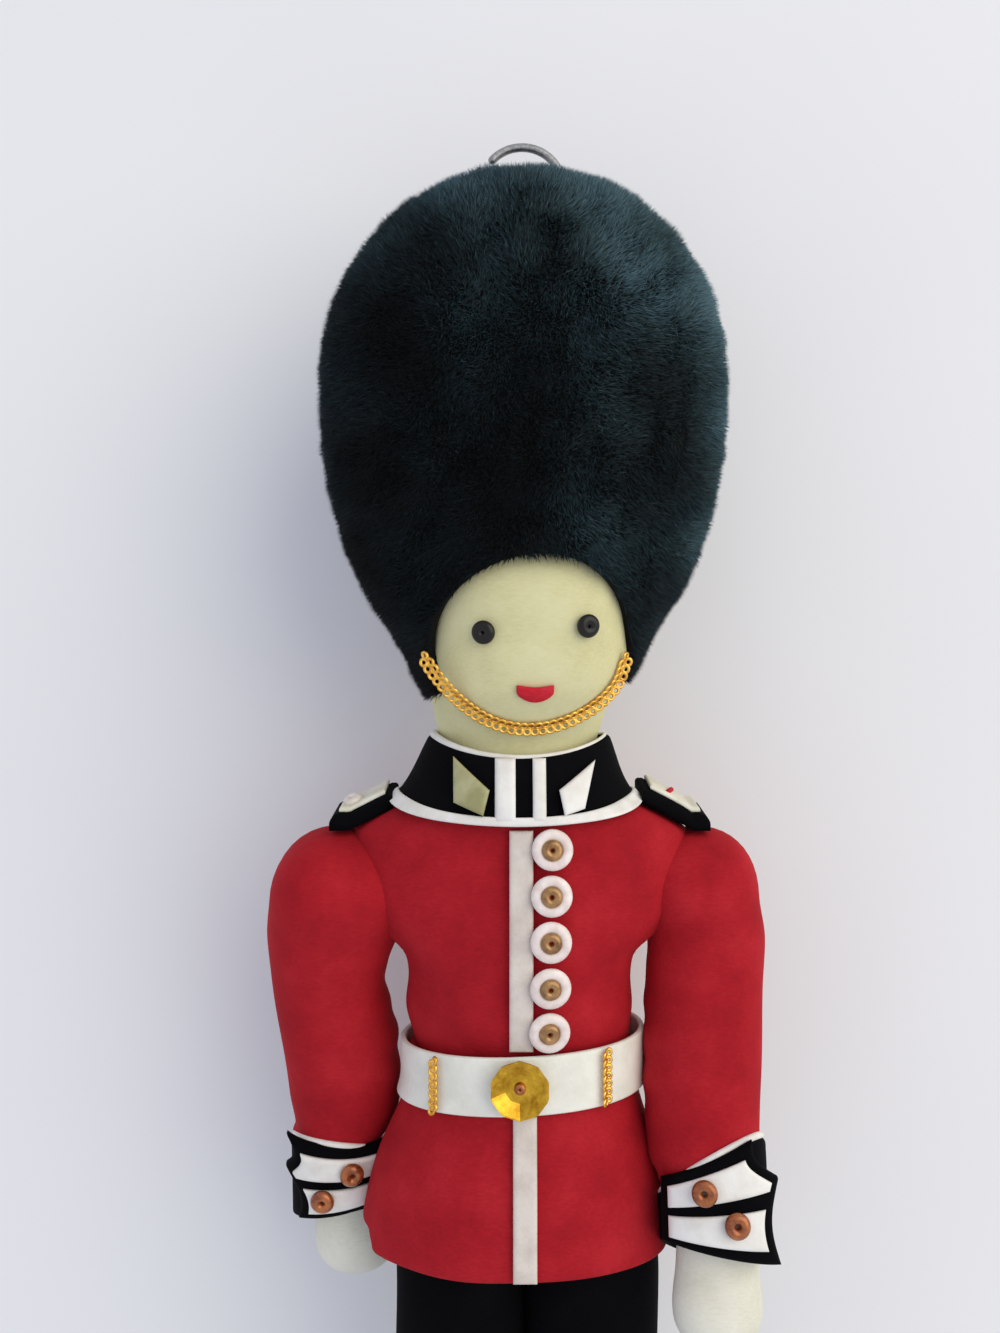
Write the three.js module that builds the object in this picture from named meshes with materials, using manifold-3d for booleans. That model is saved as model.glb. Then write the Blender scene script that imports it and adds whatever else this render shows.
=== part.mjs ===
// Guard soldier ornament: a stuffed felt doll in a tall plush hat, hung from a wire hook.
// Millimetres, +Z up. The soldier faces -Y, and left and right are the soldier's own: the left arm is on +X.
// Heights count from the boot soles while the figure is built; at the end the whole figure drops so that
// the origin lies where the hook rests on what it hangs from.
import * as THREE from "three";
import { mergeVertices } from "three/addons/utils/BufferGeometryUtils.js";
import Module from "manifold-3d";

const wasm = await Module();
wasm.setup();

// Stock thicknesses and the air left between pieces that are sewn or glued together
const SEAM_GAP = 0.3;
const FELT = 0.9;
const PLUSH = 1.5;
const VINYL = 0.6;
const LACE = 0.5;

// Legs and boots
const BOOT_HEIGHT = 12;
const BOOT_WIDTH = 11.4;
const BOOT_LENGTH = 17.5;
const TOE_REACH = 3.2;
const TREAD_HEIGHT = 3.2;
const INSTEP_HEIGHT = 7.5;
const INSTEP_LENGTH = 14;
const LEG_LENGTH = 34.5;
const HIP_RADIUS = 5.4;
const THIGH_WIDTH = 12.7;
const ANKLE_WIDTH = 10.8;
const ANKLE_DEPTH = 9.8;
const LEG_SPLIT = 0.7;

// Tunic
const SEAT_RISE = 6;
const SEAT_WIDTH = 18;
const SEAT_DEPTH = 14;
const SEAT_ROUNDING = 1.5;
const SKIRT_DROP = 18.5;
const SKIRT_TUCK = 1.5;
const HEM_WIDTH = 30.6;
const HEM_DEPTH = 20.6;
const HEM_SHIFT = -0.7;
const WAIST_WIDTH = 20;
const WAIST_DEPTH = 15.8;
const CHEST_LENGTH = 27.2;
const CHEST_WIDTH = 23;
const CHEST_DEPTH = 19;
const ARMPIT_DROP = 15.2;
const YOKE_WIDTH = 33.6;
const YOKE_DEPTH = 17.2;
const YOKE_DROP = 3.2;
const SHELF_WIDTH = 29.2;
const SHELF_DEPTH = 17.4;
const SHELF_DROP = 4.6;
const ARMSCYE_WIDTH = 24.2;
const ARMSCYE_DEPTH = 18.2;
const ARMSCYE_DROP = 7.2;
const COLLAR_SEAM_WIDTH = 21.4;
const COLLAR_SEAM_DEPTH = 17.2;
const NECK_TUCK = 1.4;

// Belt, placket and buttons
const BELT_HEIGHT = 5.5;
const BUCKLE_DIAMETER = 5.8;
const SLIDE_DIAMETER = 1.1;
const SLIDE_SPREAD = 17.6;
const SLIDE_BULGES = 4;
const PLACKET_WIDTH = 2.3;
const BUTTON_DIAMETER = 4;
const BUTTON_COUNT = 5;
const BUTTON_OFFSET = 2.6;
const FIRST_BUTTON_DROP = 4.6;
const LAST_BUTTON_RISE = 2.45;
const BEAD_DIAMETER = 2.1;

// Collar
const COLLAR_HEIGHT = 6;
const COLLAR_DIP = 1.9;
const PIPING_DIAMETER = 1.2;
const COLLAR_STRIP_WIDTH = 1.6;
const COLLAR_STRIP_SPREAD = 3.2;
const COLLAR_OPENING_SHIFT = -0.3;
const PATCH_OUTER = 7;
const PATCH_INNER = 3.5;
const PATCH_EDGE_MARGIN = 1.3;
const PATCH_INNER_DROP = 1.6;
const PATCH_POINT_RISE = 0.9;
const PATCH_FOOT_RISE = 0.5;
const PATCH_FOOT_INSET = 0.6;

// Head
const NECK_WIDTH = 15.4;
const NECK_DEPTH = 13;
const NECK_SINK = 3.2;
const HEAD_RISE = 9.1;
const HEAD_WIDTH = 19.4;
const HEAD_DEPTH = 19.6;
const HEAD_FORWARD = 1.2;
const HEAD_HEIGHT = 19.6;
const FACE_SHIFT = 0.8;
const EYE_DIAMETER = 2.3;
const EYE_SPREAD = 10;
const EYE_RISE = 1.5;
const EYE_TILT = 0.6;
const MOUTH_WIDTH = 3.6;
const MOUTH_HEIGHT = 1.5;
const MOUTH_DROP = 3.9;
const MOUTH_END_SHARE = 0.15;

// Chin strap chain
const STRAP_RADIUS = 8.6;
const STRAP_SWEEP = 190;
const STRAP_PITCH = 1.3;
const LINK_DIAMETER = 1.6;
const LINK_WIRE = 0.5;
const LINK_STRETCH = 1.35;
const LINK_ROLL = 40;

// Hat
const HAT_OVERLAP = 4.8;
const HAT_HEIGHT = 53.8;
const HAT_TAPER = 31.5;
const HAT_WIDTH = 41.3;
const HAT_DEPTH = 29;
const HAT_MIDDLE_WIDTH = 36.4;
const HAT_MIDDLE_DEPTH = 27;
const HAT_RIM_WIDTH = 21.2;
const HAT_RIM_DEPTH = 22.6;
const FACE_OPENING_RISE = 8.4;
const FACE_OPENING_DROP = 9.6;

// Hook
const WIRE_DIAMETER = 0.9;
const BEND_RADIUS = 4.5;
const BEND_SWEEP = 142;
const HOOK_RISE = 5.9;
const HOOK_SETBACK = 6;
const EYE_RING_DIAMETER = 3;

// Arms, hung on a ball-ended shoulder
const SHOULDER_RADIUS = 6.8;
const SHOULDER_GAP = 0.5;
const SHOULDER_DEPTH = 11;
const SHOULDER_DROP = 10.8;
const ELBOW_DROP = 15;
const LEFT_ELBOW_BOW = -0.6;
const RIGHT_ELBOW_BOW = 0.7;
const SLEEVE_WIDTH = 11.4;
const SLEEVE_DEPTH = 10.2;
const SLEEVE_LENGTH = 27;
const SLEEVE_TUCK = 3;
const WRIST_WIDTH = 9.2;
const WRIST_DEPTH = 8.8;
const CUFF_HEIGHT = 8.6;
const CUFF_WIDTH = 11.2;
const CUFF_DEPTH = 10.4;
const FLAP_INNER = 4.6;
const FLAP_MARGIN = 1;
const FLAP_POINT_SHARE = 0.62;
const LEFT_FLAP_LOW = 7.5;
const LEFT_FLAP_MIDDLE = 7.3;
const LEFT_FLAP_TOP = 4.6;
const RIGHT_FLAP_LOW = 3.9;
const RIGHT_FLAP_MIDDLE = 5.8;
const RIGHT_FLAP_TOP = 5.6;
const SCALLOP_DEPTH = 0.9;
const CUFF_BORDER = 1;
const CUFF_BAR = 1.1;
const CUFF_BEAD_DIAMETER = 2.5;
const CUFF_BEAD_SPREAD = 3.6;
const LEFT_BEAD_SHIFT = 1.5;
const RIGHT_BEAD_SHIFT = -0.4;
const HAND_LENGTH = 7.8;
const HAND_WIDTH = 8.8;
const HAND_DEPTH = 6;
const HAND_WRIST_WIDTH = 8.2;
const HAND_WRIST_DEPTH = 5.6;
const FINGERTIP_ROUNDING = 5;
const RIGHT_ARM_SWING = 11;
const LEFT_ARM_SWING = -10;
const ARM_CLEARANCE = 0.9;
const LEFT_CUFF_TOP_SLOPE = 0.4;
const LEFT_CUFF_LOW_SLOPE = -0.2;
const RIGHT_CUFF_TOP_SLOPE = 0.02;
const RIGHT_CUFF_LOW_SLOPE = -0.2;

// Epaulettes
const EPAULETTE_WIDTH = 7;
const EPAULETTE_OVERHANG = 1;
const EPAULETTE_DROOP = 0.75;
const EPAULETTE_BORDER = 0.9;

// Facets round a stuffed form, ring spacing along its height, and rings over a rounded end
const SECTORS = 24;
const RING_STEP = 6;
const DOME_RINGS = 5;
const SMALL_SECTORS = 16;

const plushBlack = new THREE.MeshStandardMaterial({ color: 0x141b1d, roughness: 0.95 });
const feltRed = new THREE.MeshStandardMaterial({ color: 0xa52029, roughness: 0.9 });
const feltBlack = new THREE.MeshStandardMaterial({ color: 0x0d0d10, roughness: 0.9 });
const feltCream = new THREE.MeshStandardMaterial({ color: 0xdcd6b4, roughness: 0.9 });
const feltWhite = new THREE.MeshStandardMaterial({ color: 0xe6e3da, roughness: 0.85 });
const feltKhaki = new THREE.MeshStandardMaterial({ color: 0xa6a27e, roughness: 0.85 });
const vinylWhite = new THREE.MeshStandardMaterial({ color: 0xecebe6, roughness: 0.45 });
const gold = new THREE.MeshStandardMaterial({ color: 0xc79a45, roughness: 0.3, metalness: 0.9 });
const sequinWhite = new THREE.MeshStandardMaterial({ color: 0xe4cfc8, roughness: 0.25 });
const beadBlack = new THREE.MeshStandardMaterial({ color: 0x16130f, roughness: 0.15 });
const wadding = new THREE.MeshStandardMaterial({ color: 0xf1efe9, roughness: 1 });
const steel = new THREE.MeshStandardMaterial({ color: 0x8e9298, roughness: 0.35, metalness: 1 });

const rad = THREE.MathUtils.degToRad;
const lerp = THREE.MathUtils.lerp;
const level = () => 0;

// Mesh building

function indexedGeometry(points, triangles) {
  const geometry = new THREE.BufferGeometry();
  geometry.setAttribute("position", new THREE.Float32BufferAttribute(points.flatMap((p) => p.toArray()), 3));
  geometry.setIndex(triangles.flat());
  return facingOut(geometry);
}

// Turns the triangles round when they enclose a negative volume, as they do on a mirrored piece.
function facingOut(geometry) {
  const index = geometry.getIndex();
  const corner = [0, 1, 2].map(() => new THREE.Vector3());
  let volume = 0;
  for (let i = 0; i < index.count; i += 3) {
    corner.forEach((c, k) => c.fromBufferAttribute(geometry.attributes.position, index.getX(i + k)));
    volume += corner[0].dot(corner[1].clone().cross(corner[2]));
  }
  if (volume < 0) {
    for (let i = 0; i < index.count; i += 3) {
      const first = index.getX(i);
      index.setX(i, index.getX(i + 1));
      index.setX(i + 1, first);
    }
  }
  geometry.computeVertexNormals();
  return geometry;
}

// Skins a run of rings. The ends close on an apex, or the last ring joins the first to make a loop.
function skin(rings, { startApex, endApex, loop = false }) {
  const around = rings[0].length;
  const points = rings.flat();
  const triangles = [];
  const spans = loop ? rings.length : rings.length - 1;
  for (let j = 0; j < spans; j += 1) {
    const lower = j * around;
    const upper = ((j + 1) % rings.length) * around;
    for (let i = 0; i < around; i += 1) {
      const next = (i + 1) % around;
      triangles.push([lower + i, lower + next, upper + next]);
      triangles.push([lower + i, upper + next, upper + i]);
    }
  }
  if (!loop) {
    const last = (rings.length - 1) * around;
    points.push(startApex, endApex);
    for (let i = 0; i < around; i += 1) {
      const next = (i + 1) % around;
      triangles.push([points.length - 2, next, i]);
      triangles.push([points.length - 1, last + i, last + next]);
    }
  }
  return indexedGeometry(points, triangles);
}

// A sheet piece between an inner and an outer face, each given as a point for (u, v) in 0 to 1.
function slab(columns, rows, innerPoint, outerPoint) {
  const points = [];
  const triangles = [];
  const stride = rows + 1;
  const at = (face, i, j) => face * (columns + 1) * stride + i * stride + j;
  [innerPoint, outerPoint].forEach((pointOf) => {
    for (let i = 0; i <= columns; i += 1) {
      for (let j = 0; j <= rows; j += 1) {
        points.push(pointOf(i / columns, j / rows));
      }
    }
  });
  const quad = (a, b, c, d) => triangles.push([a, b, c], [a, c, d]);
  for (let i = 0; i < columns; i += 1) {
    for (let j = 0; j < rows; j += 1) {
      quad(at(1, i, j), at(1, i + 1, j), at(1, i + 1, j + 1), at(1, i, j + 1));
      quad(at(0, i, j), at(0, i, j + 1), at(0, i + 1, j + 1), at(0, i + 1, j));
    }
    quad(at(0, i, 0), at(0, i + 1, 0), at(1, i + 1, 0), at(1, i, 0));
    quad(at(0, i + 1, rows), at(0, i, rows), at(1, i, rows), at(1, i + 1, rows));
  }
  for (let j = 0; j < rows; j += 1) {
    quad(at(0, 0, j + 1), at(0, 0, j), at(1, 0, j), at(1, 0, j + 1));
    quad(at(0, columns, j), at(0, columns, j + 1), at(1, columns, j + 1), at(1, columns, j));
  }
  return indexedGeometry(points, triangles);
}

function toSolid(geometry) {
  const bare = geometry.clone();
  bare.deleteAttribute("normal");
  bare.deleteAttribute("uv");
  const merged = mergeVertices(bare, 1e-5);
  return new wasm.Manifold(new wasm.Mesh({
    numProp: 3,
    vertProperties: new Float32Array(merged.attributes.position.array),
    triVerts: new Uint32Array(merged.getIndex().array),
  }));
}

function fromSolid(solid) {
  const mesh = solid.getMesh();
  const geometry = new THREE.BufferGeometry();
  geometry.setAttribute("position", new THREE.BufferAttribute(new Float32Array(mesh.vertProperties), 3));
  geometry.setIndex(new THREE.BufferAttribute(new Uint32Array(mesh.triVerts), 1));
  geometry.computeVertexNormals();
  return geometry;
}

const SLIVER = 0.004;

function cut(geometry, ...tools) {
  const rest = tools.reduce((solid, tool) => solid.subtract(toSolid(tool)), toSolid(geometry));
  return fromSolid(rest.simplify(SLIVER));
}

function join(...geometries) {
  const whole = geometries.map(toSolid).reduce((solid, next) => solid.add(next));
  return fromSolid(whole.simplify(SLIVER));
}

// Smooth interpolation of named values between stations listed in rising z.
function interpolate(stations, z, key) {
  const value = (i) => stations[THREE.MathUtils.clamp(i, 0, stations.length - 1)];
  const of = (i) => value(i)[key] ?? 0;
  let k = 0;
  while (k < stations.length - 2 && z > stations[k + 1].z) {
    k += 1;
  }
  const span = stations[k + 1].z - stations[k].z;
  const t = THREE.MathUtils.clamp((z - stations[k].z) / span, 0, 1);
  const slope = (i) => (of(i + 1) - of(i - 1)) / (value(i + 1).z - value(i - 1).z);
  const rise = of(k + 1) - of(k);
  const start = slope(k) * span - rise;
  const end = -slope(k + 1) * span + rise;
  return of(k) + rise * t + t * (1 - t) * (start * (1 - t) + end * t);
}

// A stuffed form: oval sections stacked along Z between stations, with ends that are flat or rounded.
// `grow` swells or shrinks the form along its surface normal, for covers, linings and clearances.
class StuffedForm {
  constructor({ stations, bottomDome = 0, topDome = 0, domeFullness = 2, sectors = SECTORS, step = RING_STEP }) {
    Object.assign(this, { stations, bottomDome, topDome, domeFullness, sectors, step });
    this.bottom = stations[0].z;
    this.top = stations.at(-1).z;
  }

  sectionAt(z, grow = 0) {
    const narrowed = this.capAt(this.top + grow - z, this.topDome, grow)
      * this.capAt(z - this.bottom + grow, this.bottomDome, grow);
    return {
      x: interpolate(this.stations, z, "x"),
      y: interpolate(this.stations, z, "y"),
      w: (interpolate(this.stations, z, "w") + grow) * narrowed,
      d: (interpolate(this.stations, z, "d") + grow) * narrowed,
    };
  }

  // How far a rounded end has drawn the section in, at a depth below its tip.
  capAt(depth, dome, grow) {
    const height = dome + grow;
    if (dome === 0 || depth >= height) {
      return 1;
    }
    const climb = THREE.MathUtils.clamp(1 - depth / height, 0, 1);
    return (1 - climb ** this.domeFullness) ** (1 / this.domeFullness);
  }

  point(angle, z, grow = 0) {
    const s = this.sectionAt(z, grow);
    return new THREE.Vector3(s.x + s.w * Math.sin(angle), s.y - s.d * Math.cos(angle), z);
  }

  // Points round the form at one height, or at a height given for each angle from the front.
  ring(height, grow = 0) {
    const heightOf = typeof height === "function" ? height : () => height;
    return Array.from({ length: this.sectors }, (_, i) => {
      const angle = (2 * Math.PI * i) / this.sectors;
      return this.point(angle, heightOf(angle), grow);
    });
  }

  axis(z) {
    return new THREE.Vector3(interpolate(this.stations, z, "x"), interpolate(this.stations, z, "y"), z);
  }

  // The point of the front face above (x, z), and the face's outward normal there.
  front(x, z, grow = 0) {
    const s = this.sectionAt(z, grow);
    const share = THREE.MathUtils.clamp((x - s.x) / s.w, -1, 1);
    return new THREE.Vector3(x, s.y - s.d * Math.sqrt(1 - share * share), z);
  }

  frontNormal(x, z, grow = 0) {
    const step = 0.05;
    const across = this.front(x + step, z, grow).sub(this.front(x - step, z, grow));
    const up = this.front(x, z + step, grow).sub(this.front(x, z - step, grow));
    return across.cross(up).normalize();
  }

  // Height of the upper face over (x, y), searched upwards from a height inside the form.
  heightAt(x, y, inside, grow = 0) {
    let low = inside;
    let high = this.top + grow;
    for (let i = 0; i < 40; i += 1) {
      const middle = (low + high) / 2;
      const s = this.sectionAt(middle, grow);
      const within = ((x - s.x) / s.w) ** 2 + ((y - s.y) / s.d) ** 2 < 1;
      [low, high] = within ? [middle, high] : [low, middle];
    }
    return low;
  }

  // Heights of the rings, closer together where an end rounds over. Grown and shrunk copies share the
  // heights between the ends, so that their facets stay apart.
  levels(grow, open) {
    const low = this.bottom + this.bottomDome;
    const high = this.top - this.topDome;
    const heights = [low];
    for (const station of this.stations.filter(({ z }) => z > low + 1e-6 && z <= high + 1e-6)) {
      const from = heights.at(-1);
      const count = Math.ceil((station.z - from) / this.step);
      for (let i = 1; i <= count; i += 1) {
        heights.push(lerp(from, station.z, i / count));
      }
    }
    const quarter = (i) => (Math.PI / 2) * (i / DOME_RINGS);
    if (this.bottomDome > 0) {
      for (let i = 1; i < DOME_RINGS; i += 1) {
        heights.unshift(low - (this.bottomDome + grow) * Math.sin(quarter(i)));
      }
    } else if (open !== "bottom") {
      heights[0] -= grow;
    }
    if (this.topDome > 0) {
      for (let i = 1; i < DOME_RINGS; i += 1) {
        heights.push(high + (this.topDome + grow) * Math.sin(quarter(i)));
      }
    } else if (open !== "top") {
      heights[heights.length - 1] += grow;
    }
    return heights;
  }

  solid(grow = 0) {
    const rings = this.levels(grow, "none").map((z) => this.ring(z, grow));
    return skin(rings, { startApex: this.axis(this.bottom - grow), endApex: this.axis(this.top + grow) });
  }

  // A cover of one thickness, open at its top or bottom end.
  cover(thickness, open) {
    const outer = this.levels(0, open).map((z) => this.ring(z));
    const inner = this.levels(-thickness, open).map((z) => this.ring(z, -thickness));
    return open === "top"
      ? skin([...outer, ...inner.reverse()], {
        startApex: this.axis(this.bottom),
        endApex: this.axis(this.bottom + thickness),
      })
      : skin([...inner.reverse(), ...outer], {
        startApex: this.axis(this.top - thickness),
        endApex: this.axis(this.top),
      });
  }

  // A band of one thickness round the form, `grow` off its surface. `edge` shifts the height at each angle.
  band(from, to, thickness, { grow = 0, rows = 1, edge = level } = {}) {
    const heights = Array.from({ length: rows + 1 }, (_, i) => (angle) => lerp(from, to, i / rows) + edge(angle));
    const outer = heights.map((height) => this.ring(height, grow + thickness));
    const inner = heights.map((height) => this.ring(height, grow));
    return skin([...outer, ...inner.reverse()], { loop: true });
  }

  // A round cord laid round the form, its middle `grow` off the surface.
  cord(z, radius, { grow = 0, edge = level, sides = 5 } = {}) {
    const rings = Array.from({ length: sides }, (_, k) => {
      const turn = (2 * Math.PI * k) / sides;
      const along = this.ring((angle) => z + edge(angle), grow + radius * Math.cos(turn));
      return along.map((p) => p.setZ(p.z + radius * Math.sin(turn)));
    });
    return skin(rings, { loop: true });
  }

  // A piece of sheet laid on the front face, over the (x, z) that `place` gives for (u, v).
  applique(place, thickness, { grow = SEAM_GAP, columns = 2, rows = 2 } = {}) {
    const on = (off) => (u, v) => {
      const { x, z } = place(u, v);
      return this.front(x, z, off);
    };
    return slab(columns, rows, on(grow), on(grow + thickness));
  }
}

// Straight-sided outline from its lower left corner, then lower right, upper right and upper left.
const quadrilateral = (a, b, c, d) => (u, v) => ({
  x: lerp(lerp(a[0], b[0], u), lerp(d[0], c[0], u), v),
  z: lerp(lerp(a[1], b[1], u), lerp(d[1], c[1], u), v),
});
const rectangle = (x0, x1, z0, z1) => quadrilateral([x0, z0], [x1, z0], [x1, z1], [x0, z1]);

// A glass bead, turned about Y with its thread hole on the axis.
function bead(diameter) {
  const tube = diameter * 0.215;
  const middle = diameter / 2 - tube;
  const profile = Array.from({ length: 7 }, (_, i) => {
    const turn = (-2 * Math.PI * i) / 6;
    return new THREE.Vector2(middle + tube * Math.cos(turn), tube * Math.sin(turn));
  });
  const geometry = mergeVertices(plain(new THREE.LatheGeometry(profile, 9)));
  return facingOut(geometry.translate(0, tube, 0));
}

// A cup sequin, turned about Y: a thin dished disc with a thread hole and a raised rim.
function cupSequin(diameter, depth) {
  const rim = diameter / 2;
  const hole = 0.35;
  const sheet = 0.28;
  const floor = rim * 0.5;
  const upper = [[hole, sheet], [floor, sheet], [rim, depth]];
  const lower = [[rim, depth - sheet], [floor, 0], [hole, 0], [hole, sheet]];
  const profile = [...upper, ...lower].map(([x, y]) => new THREE.Vector2(x, y));
  return facingOut(mergeVertices(plain(new THREE.LatheGeometry(profile, 14))));
}

function plain(geometry) {
  geometry.deleteAttribute("normal");
  geometry.deleteAttribute("uv");
  return geometry;
}

function piece(parent, name, geometry, material) {
  const mesh = new THREE.Mesh(geometry, material);
  mesh.name = name;
  parent.add(mesh);
  return mesh;
}

// Stands a turned piece on a face, its axis along the face's normal.
function stand(mesh, point, normal, off) {
  mesh.quaternion.setFromUnitVectors(new THREE.Vector3(0, 1, 0), normal);
  mesh.position.copy(point).addScaledVector(normal, off);
  return mesh;
}
const seat = (mesh, form, x, z, grow) => stand(mesh, form.front(x, z, grow), form.frontNormal(x, z, grow), 0);

// Heights, from the soles up
const hemZ = BOOT_HEIGHT + LEG_LENGTH;
const waistZ = hemZ + SKIRT_DROP;
const collarZ = waistZ + CHEST_LENGTH;
const collarTopZ = collarZ + COLLAR_HEIGHT;
const headZ = collarTopZ + HEAD_RISE;
const rimZ = headZ - HAT_OVERLAP;
const crownZ = rimZ + HAT_HEIGHT;
const seatZ = hemZ + SEAT_RISE;
const hipZ = seatZ - SEAM_GAP - HIP_RADIUS;
const beltBottomZ = waistZ - BELT_HEIGHT / 2;
const beltTopZ = waistZ + BELT_HEIGHT / 2;
const neckBottomZ = collarZ - NECK_SINK;
const pipingRadius = PIPING_DIAMETER / 2;

const root = new THREE.Group();
const figure = new THREE.Group();
const body = new THREE.Group();
root.add(figure);
figure.add(body);

// Tunic body: a felt cover open at the neck, packed with wadding
const tunic = new StuffedForm({
  stations: [
    { z: seatZ, w: SEAT_WIDTH / 2, d: SEAT_DEPTH / 2 },
    { z: waistZ, w: WAIST_WIDTH / 2, d: WAIST_DEPTH / 2 },
    { z: collarZ - ARMPIT_DROP, w: CHEST_WIDTH / 2, d: CHEST_DEPTH / 2 },
    { z: collarZ - ARMSCYE_DROP, w: ARMSCYE_WIDTH / 2, d: ARMSCYE_DEPTH / 2 },
    { z: collarZ - SHELF_DROP, w: SHELF_WIDTH / 2, d: SHELF_DEPTH / 2 },
    { z: collarZ - YOKE_DROP, w: YOKE_WIDTH / 2, d: YOKE_DEPTH / 2 },
    { z: collarZ, w: COLLAR_SEAM_WIDTH / 2, d: COLLAR_SEAM_DEPTH / 2 },
    {
      z: collarZ + NECK_TUCK,
      w: NECK_WIDTH / 2 + SEAM_GAP + FELT,
      d: NECK_DEPTH / 2 + SEAM_GAP + FELT,
    },
  ],
  bottomDome: SEAT_ROUNDING,
  domeFullness: 4,
  step: 4,
});
piece(body, "tunic_body", tunic.cover(FELT, "top"), feltRed);

const lining = FELT + SEAM_GAP;
const aboveWadding = new THREE.BoxGeometry(YOKE_WIDTH * 2, YOKE_DEPTH * 2, CHEST_LENGTH);
aboveWadding.translate(0, 0, neckBottomZ - SEAM_GAP + CHEST_LENGTH / 2);
piece(body, "tunic_stuffing", cut(tunic.solid(-lining), aboveWadding), wadding);

// Skirt: a flared felt ring whose waistband is caught under the belt
const skirtTopZ = waistZ + SKIRT_TUCK;
const waistband = { w: WAIST_WIDTH / 2 + SEAM_GAP, d: WAIST_DEPTH / 2 + SEAM_GAP };
const skirt = new StuffedForm({
  stations: [
    { z: hemZ, w: HEM_WIDTH / 2 - FELT, d: HEM_DEPTH / 2 - FELT, x: HEM_SHIFT },
    { z: beltBottomZ, ...waistband },
    { z: skirtTopZ, ...waistband },
  ],
});
piece(body, "tunic_skirt", skirt.band(hemZ, skirtTopZ, FELT, { rows: 4 }), feltRed);

// Belt with its buckle and slides
const beltGrow = FELT + SEAM_GAP;
piece(body, "belt", skirt.band(beltBottomZ, beltTopZ, VINYL, { grow: beltGrow, rows: 2 }), vinylWhite);
const beltFace = beltGrow + VINYL;
const buckle = piece(body, "belt_buckle", cupSequin(BUCKLE_DIAMETER, 1), gold);
seat(buckle, skirt, 0, waistZ, beltFace + SEAM_GAP);

// A slide is a short string of gold beads, turned in one about Z.
function slideGeometry() {
  const stations = 3 * SLIDE_BULGES;
  const length = BELT_HEIGHT + 0.6;
  const profile = Array.from({ length: stations + 1 }, (_, i) => {
    const t = i / stations;
    const swell = Math.abs(Math.sin(Math.PI * SLIDE_BULGES * t));
    return new THREE.Vector2((SLIDE_DIAMETER / 2) * lerp(0.6, 1, swell), length * (t - 0.5));
  });
  profile.unshift(new THREE.Vector2(0, -length / 2));
  profile.push(new THREE.Vector2(0, length / 2));
  return facingOut(mergeVertices(plain(new THREE.LatheGeometry(profile, 6))).rotateX(Math.PI / 2));
}
for (const [name, side] of [["left_belt_slide", 1], ["right_belt_slide", -1]]) {
  const slide = piece(body, name, slideGeometry(), gold);
  const x = (side * SLIDE_SPREAD) / 2;
  slide.position.copy(skirt.front(x, waistZ, beltFace + SEAM_GAP + SLIDE_DIAMETER / 2));
}

// Placket and buttons
const placketHalf = PLACKET_WIDTH / 2;
const placketTopZ = collarZ - COLLAR_DIP - pipingRadius - SEAM_GAP;
const upperPlacket = rectangle(-placketHalf, placketHalf, beltTopZ + SEAM_GAP, placketTopZ);
piece(body, "upper_placket", tunic.applique(upperPlacket, LACE, { rows: 9 }), vinylWhite);
const lowerPlacket = rectangle(-placketHalf, placketHalf, hemZ, beltBottomZ - SEAM_GAP);
const lowerGrow = FELT + SEAM_GAP;
piece(body, "lower_placket", skirt.applique(lowerPlacket, LACE, { grow: lowerGrow, rows: 5 }), vinylWhite);

const buttonOff = SEAM_GAP + LACE + SEAM_GAP;
const sequinFloor = 0.28;
const firstButtonZ = collarZ - FIRST_BUTTON_DROP;
const lastButtonZ = beltTopZ + LAST_BUTTON_RISE;
for (let i = 0; i < BUTTON_COUNT; i += 1) {
  const z = lerp(firstButtonZ, lastButtonZ, i / (BUTTON_COUNT - 1));
  const sequin = piece(body, `button_${i + 1}`, cupSequin(BUTTON_DIAMETER, 0.7), sequinWhite);
  seat(sequin, tunic, BUTTON_OFFSET, z, buttonOff);
  const stud = piece(body, `button_bead_${i + 1}`, bead(BEAD_DIAMETER), gold);
  seat(stud, tunic, BUTTON_OFFSET, z, buttonOff + sequinFloor + SEAM_GAP);
}

// Collar, its white piping and the two patches. It follows the tunic's seam, which dips at the front and back.
const collarDip = (angle) => -COLLAR_DIP * Math.cos(angle) ** 2;
const frontCollarZ = collarZ - COLLAR_DIP;
const frontCollarTopZ = collarTopZ - COLLAR_DIP;
const seamStation = (z) => {
  const { w, d } = tunic.sectionAt(z, SEAM_GAP);
  return { z, w, d };
};
const collar = new StuffedForm({
  stations: [
    seamStation(frontCollarZ),
    seamStation(collarZ),
    { z: collarTopZ, w: NECK_WIDTH / 2 + SEAM_GAP, d: NECK_DEPTH / 2 + SEAM_GAP },
  ],
});
const collarEdge = { edge: collarDip };
piece(body, "collar", collar.band(collarZ, collarTopZ, FELT, { rows: 3, ...collarEdge }), feltBlack);

const onCollar = FELT + SEAM_GAP;
const collarStrip = (side) => {
  const middle = COLLAR_OPENING_SHIFT + (side * COLLAR_STRIP_SPREAD) / 2;
  const half = COLLAR_STRIP_WIDTH / 2;
  const outline = rectangle(middle - half, middle + half, frontCollarZ, frontCollarTopZ - pipingRadius);
  return collar.applique(outline, VINYL, { grow: onCollar, rows: 3 });
};
const collarCord = (z) => collar.cord(z, pipingRadius, { grow: onCollar + pipingRadius, ...collarEdge });
const collarFrame = join(
  collarCord(collarZ),
  collarCord(collarTopZ - pipingRadius),
  collarStrip(1),
  collarStrip(-1),
);
piece(body, "collar_piping", collarFrame, feltWhite);

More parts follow.
